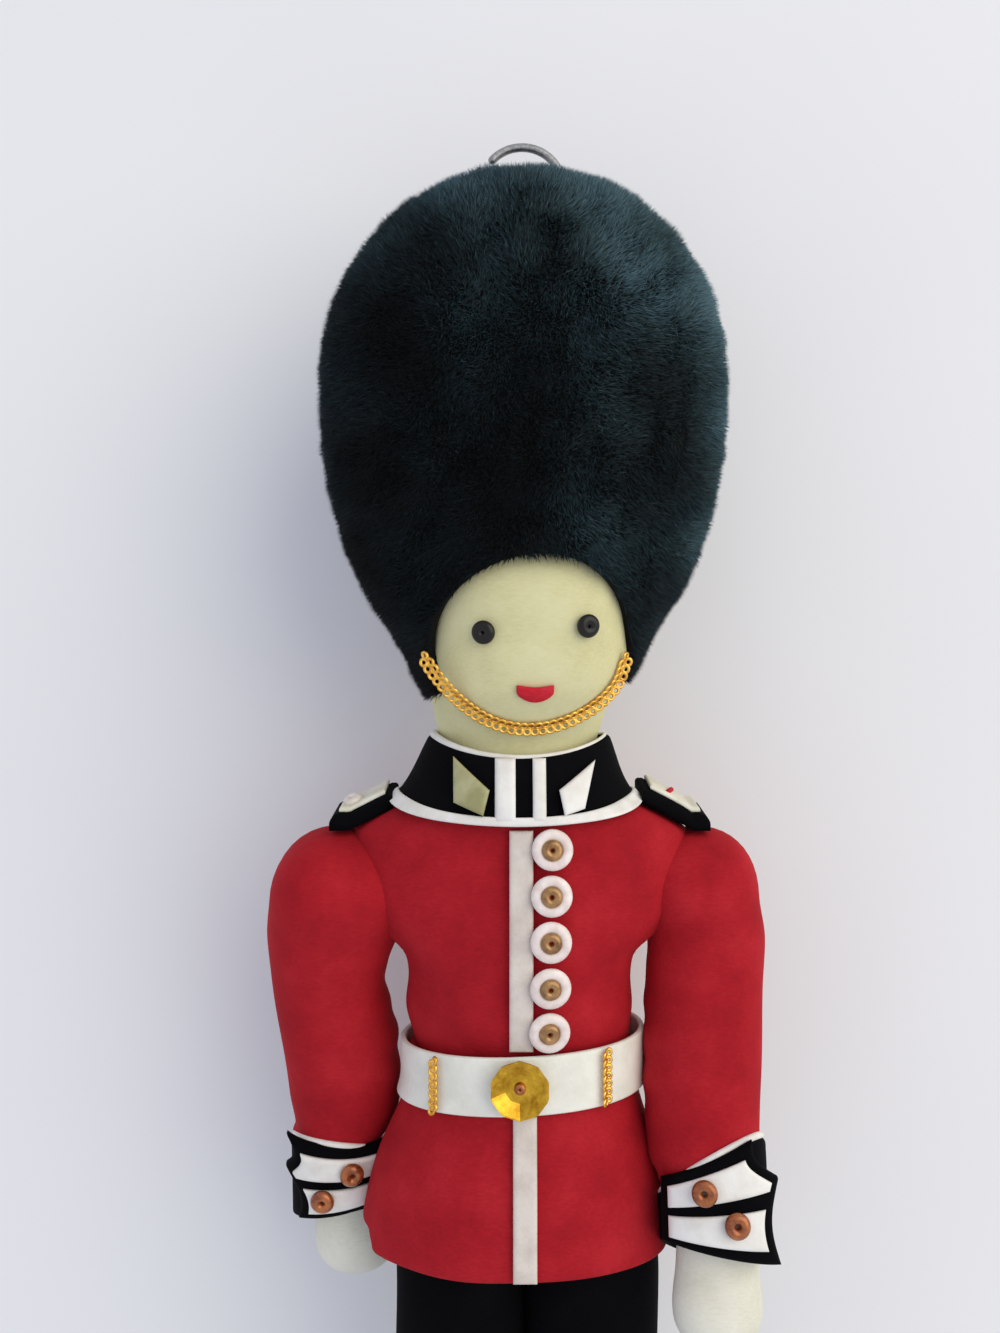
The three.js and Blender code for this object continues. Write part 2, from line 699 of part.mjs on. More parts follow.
for (const [name, side, material] of [["left_collar_patch", 1, feltWhite], ["right_collar_patch", -1, feltKhaki]]) {
  const lowZ = frontCollarZ + PATCH_EDGE_MARGIN;
  const highZ = frontCollarTopZ - PATCH_EDGE_MARGIN;
  const outline = quadrilateral(
    [side * PATCH_INNER, lowZ],
    [side * (PATCH_OUTER - PATCH_FOOT_INSET), lowZ + PATCH_FOOT_RISE],
    [side * PATCH_OUTER, highZ + PATCH_POINT_RISE],
    [side * PATCH_INNER, highZ - PATCH_INNER_DROP],
  );
  piece(body, name, collar.applique(outline, VINYL, { grow: onCollar, columns: 3 }), material);
}

// Head: a felt ball on its neck
const ball = new StuffedForm({
  stations: [
    { z: headZ - HEAD_HEIGHT / 2, w: HEAD_WIDTH / 2, d: HEAD_DEPTH / 2, y: -HEAD_FORWARD },
    { z: headZ + HEAD_HEIGHT / 2, w: HEAD_WIDTH / 2, d: HEAD_DEPTH / 2, y: -HEAD_FORWARD },
  ],
  bottomDome: HEAD_HEIGHT / 2,
  topDome: HEAD_HEIGHT / 2,
});
const neck = new StuffedForm({
  stations: [
    { z: neckBottomZ, w: NECK_WIDTH / 2, d: NECK_DEPTH / 2 },
    { z: headZ, w: NECK_WIDTH / 2, d: NECK_DEPTH / 2 },
  ],
  step: NECK_SINK + COLLAR_HEIGHT + HEAD_RISE,
});
piece(body, "head", join(ball.solid(), neck.solid()), feltCream);

for (const [name, side] of [["left_eye", 1], ["right_eye", -1]]) {
  const eye = piece(body, name, bead(EYE_DIAMETER), beadBlack);
  const x = FACE_SHIFT + (side * EYE_SPREAD) / 2;
  seat(eye, ball, x, headZ + EYE_RISE + (side * EYE_TILT) / 2, SEAM_GAP);
}

const halfMoon = (u, v) => {
  const sag = Math.sqrt(1 - (2 * u - 1) ** 2);
  const depth = MOUTH_HEIGHT * lerp(MOUTH_END_SHARE, 1, sag);
  return { x: FACE_SHIFT + MOUTH_WIDTH * (u - 0.5), z: headZ - MOUTH_DROP - depth * (1 - v) };
};
piece(body, "mouth", ball.applique(halfMoon, LACE, { columns: 8, rows: 1 }), feltRed);

// Chin strap: a run of wire links, each rolled against the last, laid round the lower face
function chinStrap() {
  const sweep = rad(STRAP_SWEEP);
  const off = SEAM_GAP + LINK_DIAMETER / 2;
  const path = (t) => {
    const angle = sweep * (t - 0.5);
    const x = FACE_SHIFT + STRAP_RADIUS * Math.sin(angle);
    const z = headZ - STRAP_RADIUS * Math.cos(angle);
    return new THREE.Vector3(x, Math.min(ball.front(x, z, off).y, neck.front(x, z, off).y), z);
  };
  const count = Math.round((STRAP_RADIUS * sweep) / STRAP_PITCH);
  const links = Array.from({ length: count }, (_, i) => {
    const t = (i + 0.5) / count;
    const along = path(t + 0.5 / count).sub(path(t - 0.5 / count)).normalize();
    const outward = ball.axis(headZ).sub(path(t)).normalize().negate();
    const across = outward.clone().cross(along).normalize();
    const roll = rad(i % 2 === 0 ? LINK_ROLL : -LINK_ROLL);
    const link = plain(new THREE.TorusGeometry((LINK_DIAMETER - LINK_WIRE) / 2, LINK_WIRE / 2, 4, 7));
    link.scale(LINK_STRETCH, 1, 1);
    link.rotateX(roll);
    const frame = new THREE.Matrix4().makeBasis(along, across, along.clone().cross(across));
    return mergeVertices(link.applyMatrix4(frame.setPosition(path(t))));
  });
  return join(...links);
}
piece(body, "chin_strap", chinStrap(), gold);

// Hat: a plush cover over wadding, with a face opening at the front and a hole for the hook
const widestZ = rimZ + HAT_TAPER;
const hat = new StuffedForm({
  stations: [
    { z: rimZ, w: HAT_RIM_WIDTH / 2, d: HAT_RIM_DEPTH / 2 },
    { z: (rimZ + widestZ) / 2, w: HAT_MIDDLE_WIDTH / 2, d: HAT_MIDDLE_DEPTH / 2 },
    { z: widestZ, w: HAT_WIDTH / 2, d: HAT_DEPTH / 2 },
    { z: crownZ, w: HAT_WIDTH / 2, d: HAT_DEPTH / 2 },
  ],
  topDome: HAT_HEIGHT - HAT_TAPER,
  domeFullness: 2.25,
});
const faceHalfWidth = STRAP_RADIUS + LINK_DIAMETER / 2 + SEAM_GAP;
const faceOpening = (grow) => {
  const outline = new THREE.Shape();
  const middleZ = headZ + (FACE_OPENING_RISE - FACE_OPENING_DROP) / 2;
  const halfHeight = (FACE_OPENING_RISE + FACE_OPENING_DROP) / 2 + grow;
  outline.absellipse(FACE_SHIFT, middleZ, faceHalfWidth + grow, halfHeight, 0, 2 * Math.PI);
  const options = { depth: HAT_DEPTH, bevelEnabled: false, curveSegments: 10 };
  return new THREE.ExtrudeGeometry(outline, options).rotateX(Math.PI / 2);
};
const upright = (radius, x, y, fromZ, toZ) => {
  const rod = new THREE.CylinderGeometry(radius, radius, toZ - fromZ, 12).rotateX(Math.PI / 2);
  return rod.translate(x, y, (fromZ + toZ) / 2);
};

const wireRadius = WIRE_DIAMETER / 2;
const shankX = BEND_RADIUS;
const eyeReach = EYE_RING_DIAMETER / 2;
const lowestCover = hat.heightAt(shankX + eyeReach, HOOK_SETBACK + eyeReach, widestZ, -PLUSH);
const eyeZ = lowestCover - SEAM_GAP - eyeReach;
const hookHole = upright(wireRadius + SEAM_GAP, shankX, HOOK_SETBACK, eyeZ, crownZ + HOOK_RISE);
piece(body, "hat_cover", cut(hat.cover(PLUSH, "bottom"), faceOpening(0), hookHole), plushBlack);

const hookPocket = upright(eyeReach + 2 * SEAM_GAP, shankX, HOOK_SETBACK, eyeZ - eyeReach - SEAM_GAP, crownZ);
const belowWadding = new THREE.BoxGeometry(HAT_WIDTH * 2, HAT_DEPTH * 2, HAT_HEIGHT);
belowWadding.translate(0, 0, headZ + 2 - HAT_HEIGHT / 2);
const hatWadding = cut(
  hat.solid(-PLUSH - SEAM_GAP),
  belowWadding,
  ball.solid(SEAM_GAP),
  faceOpening(SEAM_GAP),
  hookPocket,
);
piece(body, "hat_stuffing", hatWadding, wadding);

// Hook: a straight shank from an eye under the crown, bent over into an open hook
const bendZ = crownZ + HOOK_RISE - wireRadius - BEND_RADIUS;
class HookLine extends THREE.Curve {
  getPoint(t) {
    const straight = bendZ - eyeZ - eyeReach + WIRE_DIAMETER;
    const bend = BEND_RADIUS * rad(BEND_SWEEP);
    const run = t * (straight + bend);
    if (run < straight) {
      return new THREE.Vector3(shankX, HOOK_SETBACK, bendZ - straight + run);
    }
    const angle = (run - straight) / BEND_RADIUS;
    return new THREE.Vector3(BEND_RADIUS * Math.cos(angle), HOOK_SETBACK, bendZ + BEND_RADIUS * Math.sin(angle));
  }
}
const wireSection = new THREE.Shape().absarc(0, 0, wireRadius, 0, 2 * Math.PI);
const wireOptions = { extrudePath: new HookLine(), steps: 26, bevelEnabled: false, curveSegments: 4 };
const wire = new THREE.ExtrudeGeometry(wireSection, wireOptions);
const eyeRing = new THREE.TorusGeometry(eyeReach - wireRadius, wireRadius, 8, 14).rotateX(Math.PI / 2);
eyeRing.translate(shankX, HOOK_SETBACK, eyeZ);
piece(figure, "hanging_hook", join(wire, eyeRing), steel);

// Arms
const shoulderZ = collarZ - SHOULDER_DROP;
const shoulderX = tunic.sectionAt(shoulderZ).w + SHOULDER_GAP + SHOULDER_RADIUS;

function buildArm(name, side, { swing, bow, topSlope, lowSlope, flapReach, beadShift }) {
  // The arm swings to the front or back, and stands out just enough for its cuff to clear the skirt.
  const cuffReach = SLEEVE_LENGTH + CUFF_HEIGHT;
  const reachX = (HEM_WIDTH + CUFF_WIDTH) / 2 + ARM_CLEARANCE;
  const reachY = (HEM_DEPTH + CUFF_DEPTH) / 2 + ARM_CLEARANCE;
  const forward = cuffReach * Math.sin(rad(swing));
  const cuffX = reachX * Math.sqrt(1 - (forward / reachY) ** 2) + side * HEM_SHIFT;
  const splay = Math.asin((cuffX - shoulderX) / cuffReach);
  const arm = new THREE.Group();
  arm.position.set(side * shoulderX, 0, shoulderZ);
  arm.rotation.set(rad(swing), -side * splay, 0);
  arm.updateMatrix();
  figure.add(arm);

  const wristZ = -SLEEVE_LENGTH;
  const sleeveEndZ = wristZ - SLEEVE_TUCK;
  const sleeve = new StuffedForm({
    stations: [
      { z: sleeveEndZ, w: WRIST_WIDTH / 2, d: WRIST_DEPTH / 2 },
      { z: wristZ, w: WRIST_WIDTH / 2, d: WRIST_DEPTH / 2 },
      { z: -ELBOW_DROP, w: SLEEVE_WIDTH / 2, d: SLEEVE_DEPTH / 2, x: side * bow },
      { z: 0, w: SHOULDER_RADIUS, d: SHOULDER_DEPTH / 2 },
      { z: SHOULDER_RADIUS, w: SHOULDER_RADIUS, d: SHOULDER_DEPTH / 2 },
    ],
    topDome: SHOULDER_RADIUS,
    sectors: 20,
  });
  const tunicBeside = tunic.solid(SEAM_GAP).applyMatrix4(arm.matrix.clone().invert());
  piece(arm, `${name}_sleeve`, cut(sleeve.solid(), tunicBeside), feltRed);

  // The cuff wraps the sleeve end. Its flap fans out past the band, with a point between two hollows.
  const edge = (angle) => side * topSlope * (CUFF_WIDTH / 2) * Math.sin(angle);
  const cuffEndZ = wristZ - CUFF_HEIGHT;
  const [flapLow, flapMiddle, flapTop] = flapReach;
  const flapWiden = Math.max(...flapReach) + FLAP_MARGIN - CUFF_WIDTH / 2 + FELT;
  const cuffStations = (widen) => [
    { z: cuffEndZ, w: CUFF_WIDTH / 2 - FELT + widen, d: CUFF_DEPTH / 2 - FELT },
    { z: wristZ, w: WRIST_WIDTH / 2 + SEAM_GAP + widen, d: WRIST_DEPTH / 2 + SEAM_GAP },
  ];
  const cuff = new StuffedForm({ stations: cuffStations(0), sectors: 20 });
  const flapFace = new StuffedForm({ stations: cuffStations(flapWiden) });
  const hollow = (share) => SCALLOP_DEPTH * Math.sin(Math.PI * share);
  const flapEdge = (level) => {
    const lower = level / FLAP_POINT_SHARE;
    const upper = (level - FLAP_POINT_SHARE) / (1 - FLAP_POINT_SHARE);
    return lower < 1
      ? lerp(flapLow, flapMiddle, lower) - hollow(lower)
      : lerp(flapMiddle, flapTop, upper) - hollow(upper);
  };
  const flapZ = (x, level) => lerp(cuffEndZ + lowSlope * x, wristZ + topSlope * x, level);
  const onFlap = (innerX, low, high, border) => (u, v) => {
    const level = lerp(low, high, v) / CUFF_HEIGHT;
    const x = lerp(innerX, flapEdge(level) - border, u);
    return { x: side * x, z: flapZ(x, level) };
  };
  const flapOutline = onFlap(-FLAP_INNER, 0, CUFF_HEIGHT, 0);
  const flap = flapFace.applique(flapOutline, FELT, { grow: FELT / 2, columns: 4, rows: 8 });
  piece(arm, `${name}_cuff`, join(cuff.band(cuffEndZ, wristZ, FELT, { rows: 2, edge }), flap), feltBlack);

  const cordRadius = FELT / 2;
  const cuffCord = cuff.cord(wristZ + SEAM_GAP + cordRadius, cordRadius, { grow: cordRadius, edge });
  piece(arm, `${name}_cuff_piping`, cuffCord, feltWhite);

  const panelGrow = FELT * 1.5 + SEAM_GAP;
  const panelHeight = (CUFF_HEIGHT - 2 * CUFF_BORDER - CUFF_BAR) / 2;
  const panels = [
    ["lower", CUFF_BORDER, 1],
    ["upper", CUFF_BORDER + panelHeight + CUFF_BAR, -1],
  ];
  for (const [height, low, beadSide] of panels) {
    const outline = onFlap(CUFF_BORDER - FLAP_INNER, low, low + panelHeight, CUFF_BORDER);
    const options = { grow: panelGrow, columns: 4, rows: 3 };
    piece(arm, `${name}_${height}_cuff_panel`, flapFace.applique(outline, LACE, options), vinylWhite);
    const stud = piece(arm, `${name}_${height}_cuff_bead`, bead(CUFF_BEAD_DIAMETER), gold);
    const x = beadShift + (beadSide * CUFF_BEAD_SPREAD) / 2;
    const z = flapZ(x, (low + panelHeight / 2) / CUFF_HEIGHT);
    seat(stud, flapFace, side * x, z, panelGrow + LACE + SEAM_GAP);
  }

  const handTopZ = sleeveEndZ - SEAM_GAP;
  const tipZ = cuffEndZ - HAND_LENGTH;
  const hand = new StuffedForm({
    stations: [
      { z: tipZ, w: HAND_WIDTH / 2, d: HAND_DEPTH / 2 },
      { z: tipZ + FINGERTIP_ROUNDING, w: HAND_WIDTH / 2, d: HAND_DEPTH / 2 },
      { z: cuffEndZ, w: HAND_WRIST_WIDTH / 2, d: HAND_WRIST_DEPTH / 2 },
      { z: handTopZ, w: HAND_WRIST_WIDTH / 2, d: HAND_WRIST_DEPTH / 2 },
    ],
    bottomDome: FINGERTIP_ROUNDING,
    sectors: SMALL_SECTORS,
    step: 3,
  });
  piece(arm, `${name}_hand`, hand.solid(), feltWhite);
}
buildArm("left", 1, {
  swing: LEFT_ARM_SWING,
  bow: LEFT_ELBOW_BOW,
  topSlope: LEFT_CUFF_TOP_SLOPE,
  lowSlope: LEFT_CUFF_LOW_SLOPE,
  flapReach: [LEFT_FLAP_LOW, LEFT_FLAP_MIDDLE, LEFT_FLAP_TOP],
  beadShift: LEFT_BEAD_SHIFT,
});
buildArm("right", -1, {
  swing: RIGHT_ARM_SWING,
  bow: RIGHT_ELBOW_BOW,
  topSlope: RIGHT_CUFF_TOP_SLOPE,
  lowSlope: RIGHT_CUFF_LOW_SLOPE,
  flapReach: [RIGHT_FLAP_LOW, RIGHT_FLAP_MIDDLE, RIGHT_FLAP_TOP],
  beadShift: RIGHT_BEAD_SHIFT,
});

// Epaulettes: felt straps from the collar seam down over the ball of the shoulder
const shoulderTopZ = shoulderZ + SHOULDER_RADIUS;
const strapStartX = COLLAR_SEAM_WIDTH / 2 + SEAM_GAP + FELT + SEAM_GAP + PIPING_DIAMETER + SEAM_GAP;
const strapEndX = shoulderX + EPAULETTE_OVERHANG;
const yokeZ = collarZ - YOKE_DROP;
const strapStartZ = tunic.heightAt(strapStartX, 0, yokeZ, SEAM_GAP);
const strapPoint = (side, inset, lift) => (u, v) => {
  const x = lerp(strapStartX + inset, strapEndX - inset, u);
  const along = (x - strapStartX) / (strapEndX - strapStartX);
  const straight = lerp(strapStartZ, shoulderTopZ + SEAM_GAP, along ** EPAULETTE_DROOP);
  const z = Math.max(straight, tunic.heightAt(x, 0, yokeZ, SEAM_GAP));
  return new THREE.Vector3(side * x, (EPAULETTE_WIDTH / 2 - inset) * (2 * v - 1), z + lift);
};
for (const [name, side] of [["left", 1], ["right", -1]]) {
  const strap = slab(5, 1, strapPoint(side, 0, 0), strapPoint(side, 0, FELT));
  piece(body, `${name}_epaulette`, strap, feltBlack);
  const laceBase = FELT + SEAM_GAP;
  const lace = slab(4, 1, strapPoint(side, EPAULETTE_BORDER, laceBase), strapPoint(side, EPAULETTE_BORDER, laceBase + LACE));
  piece(body, `${name}_epaulette_lace`, lace, vinylWhite);
  const stud = piece(body, `${name}_epaulette_bead`, bead(BEAD_DIAMETER), sequinWhite);
  const top = strapPoint(side, EPAULETTE_BORDER, laceBase + LACE);
  const along = top(0.7, 0.3).sub(top(0.6, 0.3)).multiplyScalar(side);
  const normal = along.cross(new THREE.Vector3(0, 1, 0)).normalize();
  stand(stud, top(0.65, 0.3), normal, 1.5 * SEAM_GAP);
}

// Legs: stuffed trouser legs with ball tops under the tunic seat, and boots
for (const [name, side] of [["left", 1], ["right", -1]]) {
  const leg = new THREE.Group();
  leg.position.set((side * (THIGH_WIDTH + LEG_SPLIT)) / 2, 0, hipZ);
  figure.add(leg);
  const bootTopZ = BOOT_HEIGHT - hipZ;
  const trouser = new StuffedForm({
    stations: [
      { z: bootTopZ + SEAM_GAP, w: ANKLE_WIDTH / 2, d: ANKLE_DEPTH / 2 },
      { z: 0, w: THIGH_WIDTH / 2, d: HIP_RADIUS },
      { z: HIP_RADIUS, w: THIGH_WIDTH / 2, d: HIP_RADIUS },
    ],
    topDome: HIP_RADIUS,
    sectors: 20,
  });
  piece(leg, `${name}_trouser`, trouser.solid(), feltBlack);
  const boot = new StuffedForm({
    stations: [
      { z: -hipZ, w: BOOT_WIDTH / 2, d: BOOT_LENGTH / 2, y: -TOE_REACH },
      { z: TREAD_HEIGHT - hipZ, w: BOOT_WIDTH / 2, d: BOOT_LENGTH / 2, y: -TOE_REACH },
      { z: INSTEP_HEIGHT - hipZ, w: BOOT_WIDTH / 2, d: INSTEP_LENGTH / 2, y: (ANKLE_DEPTH - INSTEP_LENGTH) / 2 },
      { z: bootTopZ, w: ANKLE_WIDTH / 2, d: ANKLE_DEPTH / 2 },
    ],
    sectors: 20,
  });
  piece(leg, `${name}_boot`, boot.solid(), feltBlack);
}

// The hook rests on its hanger at the top of the bend's inside, and that point is the origin.
figure.position.set(0, -HOOK_SETBACK, -(bendZ + BEND_RADIUS - wireRadius));

export default root;
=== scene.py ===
# %% [markdown]
# # A stuffed guard soldier
# The object is a hanging ornament: a doll of stuffed felt in a tall plush hat, trimmed with ribbon, chain,
# sequins and beads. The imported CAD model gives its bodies, its joints and its size. This lesson dresses that
# model: each step makes one kind of piece as a worked-out surface and gives it a cloth, bead or metal finish.

import bpy
import numpy as np
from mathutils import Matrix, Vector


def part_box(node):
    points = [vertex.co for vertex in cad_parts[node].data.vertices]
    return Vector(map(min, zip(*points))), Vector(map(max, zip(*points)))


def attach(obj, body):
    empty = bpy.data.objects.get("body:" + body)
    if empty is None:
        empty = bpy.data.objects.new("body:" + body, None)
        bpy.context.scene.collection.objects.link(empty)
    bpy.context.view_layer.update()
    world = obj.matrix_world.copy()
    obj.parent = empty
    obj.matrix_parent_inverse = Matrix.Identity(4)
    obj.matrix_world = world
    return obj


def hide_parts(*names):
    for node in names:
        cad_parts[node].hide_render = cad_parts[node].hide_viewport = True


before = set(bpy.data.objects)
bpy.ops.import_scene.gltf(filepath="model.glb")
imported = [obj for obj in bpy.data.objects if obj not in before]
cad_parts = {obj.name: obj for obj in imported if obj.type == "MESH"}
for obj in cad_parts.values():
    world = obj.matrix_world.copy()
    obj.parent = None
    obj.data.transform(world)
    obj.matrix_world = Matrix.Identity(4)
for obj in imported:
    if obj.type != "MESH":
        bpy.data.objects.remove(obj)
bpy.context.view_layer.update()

# %% [markdown]
# The doll is easiest to describe in millimetres counted from the soles of its boots, with the doll facing -Y.
# The frame's origin is the point where the hook hangs, so every finished surface is moved there and turned
# into metres once, when it goes into its mesh. The boot's own box says how far down the soles are.

# %% Millimetres to the frame
MM = 0.001
HOOK_SETBACK = 6.0
SOLE_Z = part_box("left_boot")[0].z / MM
ROW_SHIFT = np.array([0.0, -HOOK_SETBACK, SOLE_Z])


def in_row(points):
    """Figure millimetres, counted from the soles, as metres from the hook's hanging point."""
    return (np.asarray(points, float) + ROW_SHIFT) * MM


print("soles lie", round(-SOLE_Z, 1), "mm under the hanging point")

# %% [markdown]
# The photograph looks straight at the doll's front from close by, so near parts look larger than far ones.
# A camera at the same distance gives the same perspective. The doll lies on a pale surface: here that is
# an upright sheet behind it. Its material lets the camera look through it from behind, so that it
# never hides the doll's back.

# %% Camera
EYE_POINT = (-2.4, -125.0, 105.2)
LENS_MM = 32.46
SENSOR_MM = 36.0
CLIP_START_M = 0.005

camera_data = bpy.data.cameras.new("camera")
camera_data.lens = LENS_MM
camera_data.sensor_width = SENSOR_MM
camera_data.clip_start = CLIP_START_M
camera = bpy.data.objects.new("camera", camera_data)
camera.location = in_row(EYE_POINT)
camera.rotation_euler = (np.pi / 2, 0.0, 0.0)
bpy.context.scene.collection.objects.link(camera)
bpy.context.scene.camera = camera
bpy.context.scene.view_settings.view_transform = "Standard"
print("camera", round(-EYE_POINT[1]), "mm in front of the doll")

# %% [markdown]
# Shader maths reads best as plain expressions. `Shade` wraps one output of a node and overloads the
# operators, so `mask * 0.4 + 0.6` adds the Math nodes by itself. `Finish` is one material: its `node`
# method adds any node from its type, settings and socket values.

# %% Shader maths


class Shade:
    """One output socket, with arithmetic that adds Math nodes."""

    def __init__(self, finish, socket):
        self.finish = finish
        self.socket = socket

    def maths(self, operation, other):
        return self.finish.node("Math", {"operation": operation}, {0: self, 1: other})

    def __add__(self, other):
        return self.maths("ADD", other)

    __radd__ = __add__

    def __mul__(self, other):
        return self.maths("MULTIPLY", other)

    __rmul__ = __mul__


class Finish:
    """One material around a Principled shader. Constants go straight onto the shader's sockets."""

    def __init__(self, name, **constants):
        self.material = bpy.data.materials.new(name)
        self.material.use_nodes = True
        self.tree = self.material.node_tree
        self.surface = self.tree.nodes["Principled BSDF"]
        for socket, value in constants.items():
            self.surface.inputs[socket.replace("_", " ")].default_value = value

    def node(self, kind, settings=None, sockets=None, output=0):
        made = self.tree.nodes.new("ShaderNode" + kind)
        for name, value in (settings or {}).items():
            if name == "stops":
                self.set_stops(made.color_ramp, value)
            else:
                setattr(made, name, value)
        for name, value in (sockets or {}).items():
            self.feed(made.inputs[name], value)
        return Shade(self, made.outputs[output])

    def set_stops(self, ramp, stops):
        while len(ramp.elements) < len(stops):
            ramp.elements.new(1.0)
        for element, (place, colour) in zip(ramp.elements, stops):
            element.position = place
            element.color = colour

    def feed(self, socket, value):
        if isinstance(value, Shade):
            self.tree.links.new(value.socket, socket)
        else:
            socket.default_value = value

    def drive(self, **sockets):
        for name, shade in sockets.items():
            self.feed(self.surface.inputs[name.replace("_", " ")], shade)

    def place(self):
        return self.node("TexCoord", output="Object")

    def noise(self, place, scale, detail=2.0, roughness=0.5):
        sockets = {"Vector": place, "Scale": scale, "Detail": detail, "Roughness": roughness}
        return self.node("TexNoise", None, sockets, "Fac")

    def ramp(self, factor, stops):
        return self.node("ValToRGB", {"stops": stops}, {"Fac": factor}, "Color")

    def blend(self, factor, first, second):
        return self.node("Mix", {"data_type": "RGBA"}, {0: factor, 6: first, 7: second}, 2)

    def bump(self, height, strength, depth_mm):
        sockets = {"Strength": strength, "Distance": depth_mm * MM, "Height": height}
        return self.node("Bump", None, sockets, "Normal")


def srgb(red, green, blue):
    """A colour given on the 0 to 255 scale, as the linear colour that a shader wants."""
    share = np.array([red, green, blue]) / 255.0
    linear = np.where(share <= 0.04045, share / 12.92, ((share + 0.055) / 1.055) ** 2.4)
    return (*linear, 1.0)


print("shader maths is ready")

# %% [markdown]
# The pale surface, a big soft lamp from the upper right and an even sky are the studio. The sheet stands just
# behind the doll, so that the lamp throws the soft shadow that the photograph shows on the left.

# %% Studio
SHEET_Y = 24.0
SHEET_HALF = 900.0
SHEET_CLOUDS = 9.0
SHEET_TONES = [(0.3, srgb(233, 232, 232)), (0.7, srgb(238, 237, 236))]
LAMP_PLACE = (640.0, -640.0, 430.0)
LAMP_AIM = (0.0, 0.0, 100.0)
LAMP_SIZE = 1.2
LAMP_WATTS = 6.1
LAMP_COLOUR = (1.0, 0.92, 0.71)
SKY_LIGHT = 0.8
SKY_COLOUR = (0.81, 0.865, 1.02, 1.0)
SKY_SHOWN = 0.86
SKY_SHOWN_COLOUR = srgb(250, 250, 252)


def studio_sheet():
    corners = [(-1, -1), (1, -1), (1, 1), (-1, 1)]
    points = [(x * SHEET_HALF, SHEET_Y, z * SHEET_HALF) for x, z in corners]
    mesh = bpy.data.meshes.new("pale_surface")
    mesh.from_pydata(in_row(points).tolist(), [], [(0, 1, 2, 3)])
    sheet = bpy.data.objects.new("pale_surface", mesh)
    bpy.context.scene.collection.objects.link(sheet)
    finish = Finish("pale paper", Roughness=0.8, Specular_IOR_Level=0.15)
    cloud = finish.noise(finish.place(), SHEET_CLOUDS, 3.0)
    finish.drive(Base_Color=finish.ramp(cloud, SHEET_TONES))
    behind = finish.node("NewGeometry", output="Backfacing")
    clear = finish.node("BsdfTransparent")
    shown = Shade(finish, finish.surface.outputs[0])
    mixed = finish.node("MixShader", None, {0: behind, 1: shown, 2: clear})
    finish.feed(finish.tree.nodes["Material Output"].inputs["Surface"], mixed)
    mesh.materials.append(finish.material)


def studio_lamp():
    data = bpy.data.lights.new("window", "AREA")
    data.shape = "DISK"
    data.size = LAMP_SIZE
    data.energy = LAMP_WATTS
    data.color = LAMP_COLOUR
    lamp = bpy.data.objects.new("window", data)
    lamp.location = in_row(LAMP_PLACE)
    way = np.subtract(LAMP_AIM, LAMP_PLACE)
    level = np.hypot(way[0], way[1])
    lamp.rotation_euler = (np.arctan2(level, -way[2]), 0.0, np.arctan2(-way[0], way[1]))
    bpy.context.scene.collection.objects.link(lamp)


def studio_sky():
    world = bpy.data.worlds.new("studio sky")
    world.use_nodes = True
    bpy.context.scene.world = world
    nodes, links = world.node_tree.nodes, world.node_tree.links
    light = nodes["Background"]
    light.inputs["Color"].default_value = SKY_COLOUR
    light.inputs["Strength"].default_value = SKY_LIGHT
    shown = nodes.new("ShaderNodeBackground")
    shown.inputs["Color"].default_value = SKY_SHOWN_COLOUR
    shown.inputs["Strength"].default_value = SKY_SHOWN
    rays = nodes.new("ShaderNodeLightPath")
    seen = nodes.new("ShaderNodeMath")
    seen.operation = "MAXIMUM"
    links.new(rays.outputs["Is Camera Ray"], seen.inputs[0])
    links.new(rays.outputs["Is Glossy Ray"], seen.inputs[1])
    choice = nodes.new("ShaderNodeMixShader")
    links.new(seen.outputs[0], choice.inputs[0])
    links.new(light.outputs[0], choice.inputs[1])
    links.new(shown.outputs[0], choice.inputs[2])
    links.new(choice.outputs[0], nodes["World Output"].inputs["Surface"])


studio_sheet()
studio_lamp()
studio_sky()
print("studio set, sheet", SHEET_Y, "mm behind the doll's middle")

# %% [markdown]
# Felt is a mat of fibres pressed flat. Close up it shows soft clouds of tone, and short crossing fibres
# that catch the light. Two noise fields, each stretched along its own direction, give the fibres; a slow
# noise gives the clouds. A little sheen gives the pale bloom that felt has where it turns away.

# %% Felt
FIBRE_ACROSS = 4200.0
FIBRE_ALONG = 1500.0
FIBRE_TURNS = [(0.5, 0.3, 0.9), (1.9, 1.1, 2.3)]
CLOUD_SCALE = 170.0


def fibres(finish, place, turn):
    """Noise drawn out along one direction: a bundle of fibres."""
    scale = (FIBRE_ALONG, FIBRE_ACROSS, FIBRE_ACROSS)
    laid = finish.node("Mapping", None, {"Vector": place, "Rotation": turn, "Scale": scale}, "Vector")
    return finish.noise(laid, 1.0, 2.0, 0.6)


def felt(name, dark, middle, light, sheen=0.25, relief=0.16, grain=0.4, shine=0.18):
    finish = Finish(name, Sheen_Weight=sheen, Sheen_Roughness=0.55, Specular_IOR_Level=shine)
    finish.surface.inputs["Sheen Tint"].default_value = light
    place = finish.place()
    cloud = finish.noise(place, CLOUD_SCALE, 3.0, 0.55)
    first, second = [fibres(finish, place, turn) for turn in FIBRE_TURNS]
    mat = first * 0.5 + second * 0.5
    tone = cloud * (1 - grain) + mat * grain
    finish.drive(Base_Color=finish.ramp(tone, [(0.3, dark), (0.5, middle), (0.7, light)]))
    finish.drive(Roughness=mat * 0.2 + 0.76)
    finish.drive(Normal=finish.bump(mat + cloud * 0.4, relief, 0.25))
    return finish


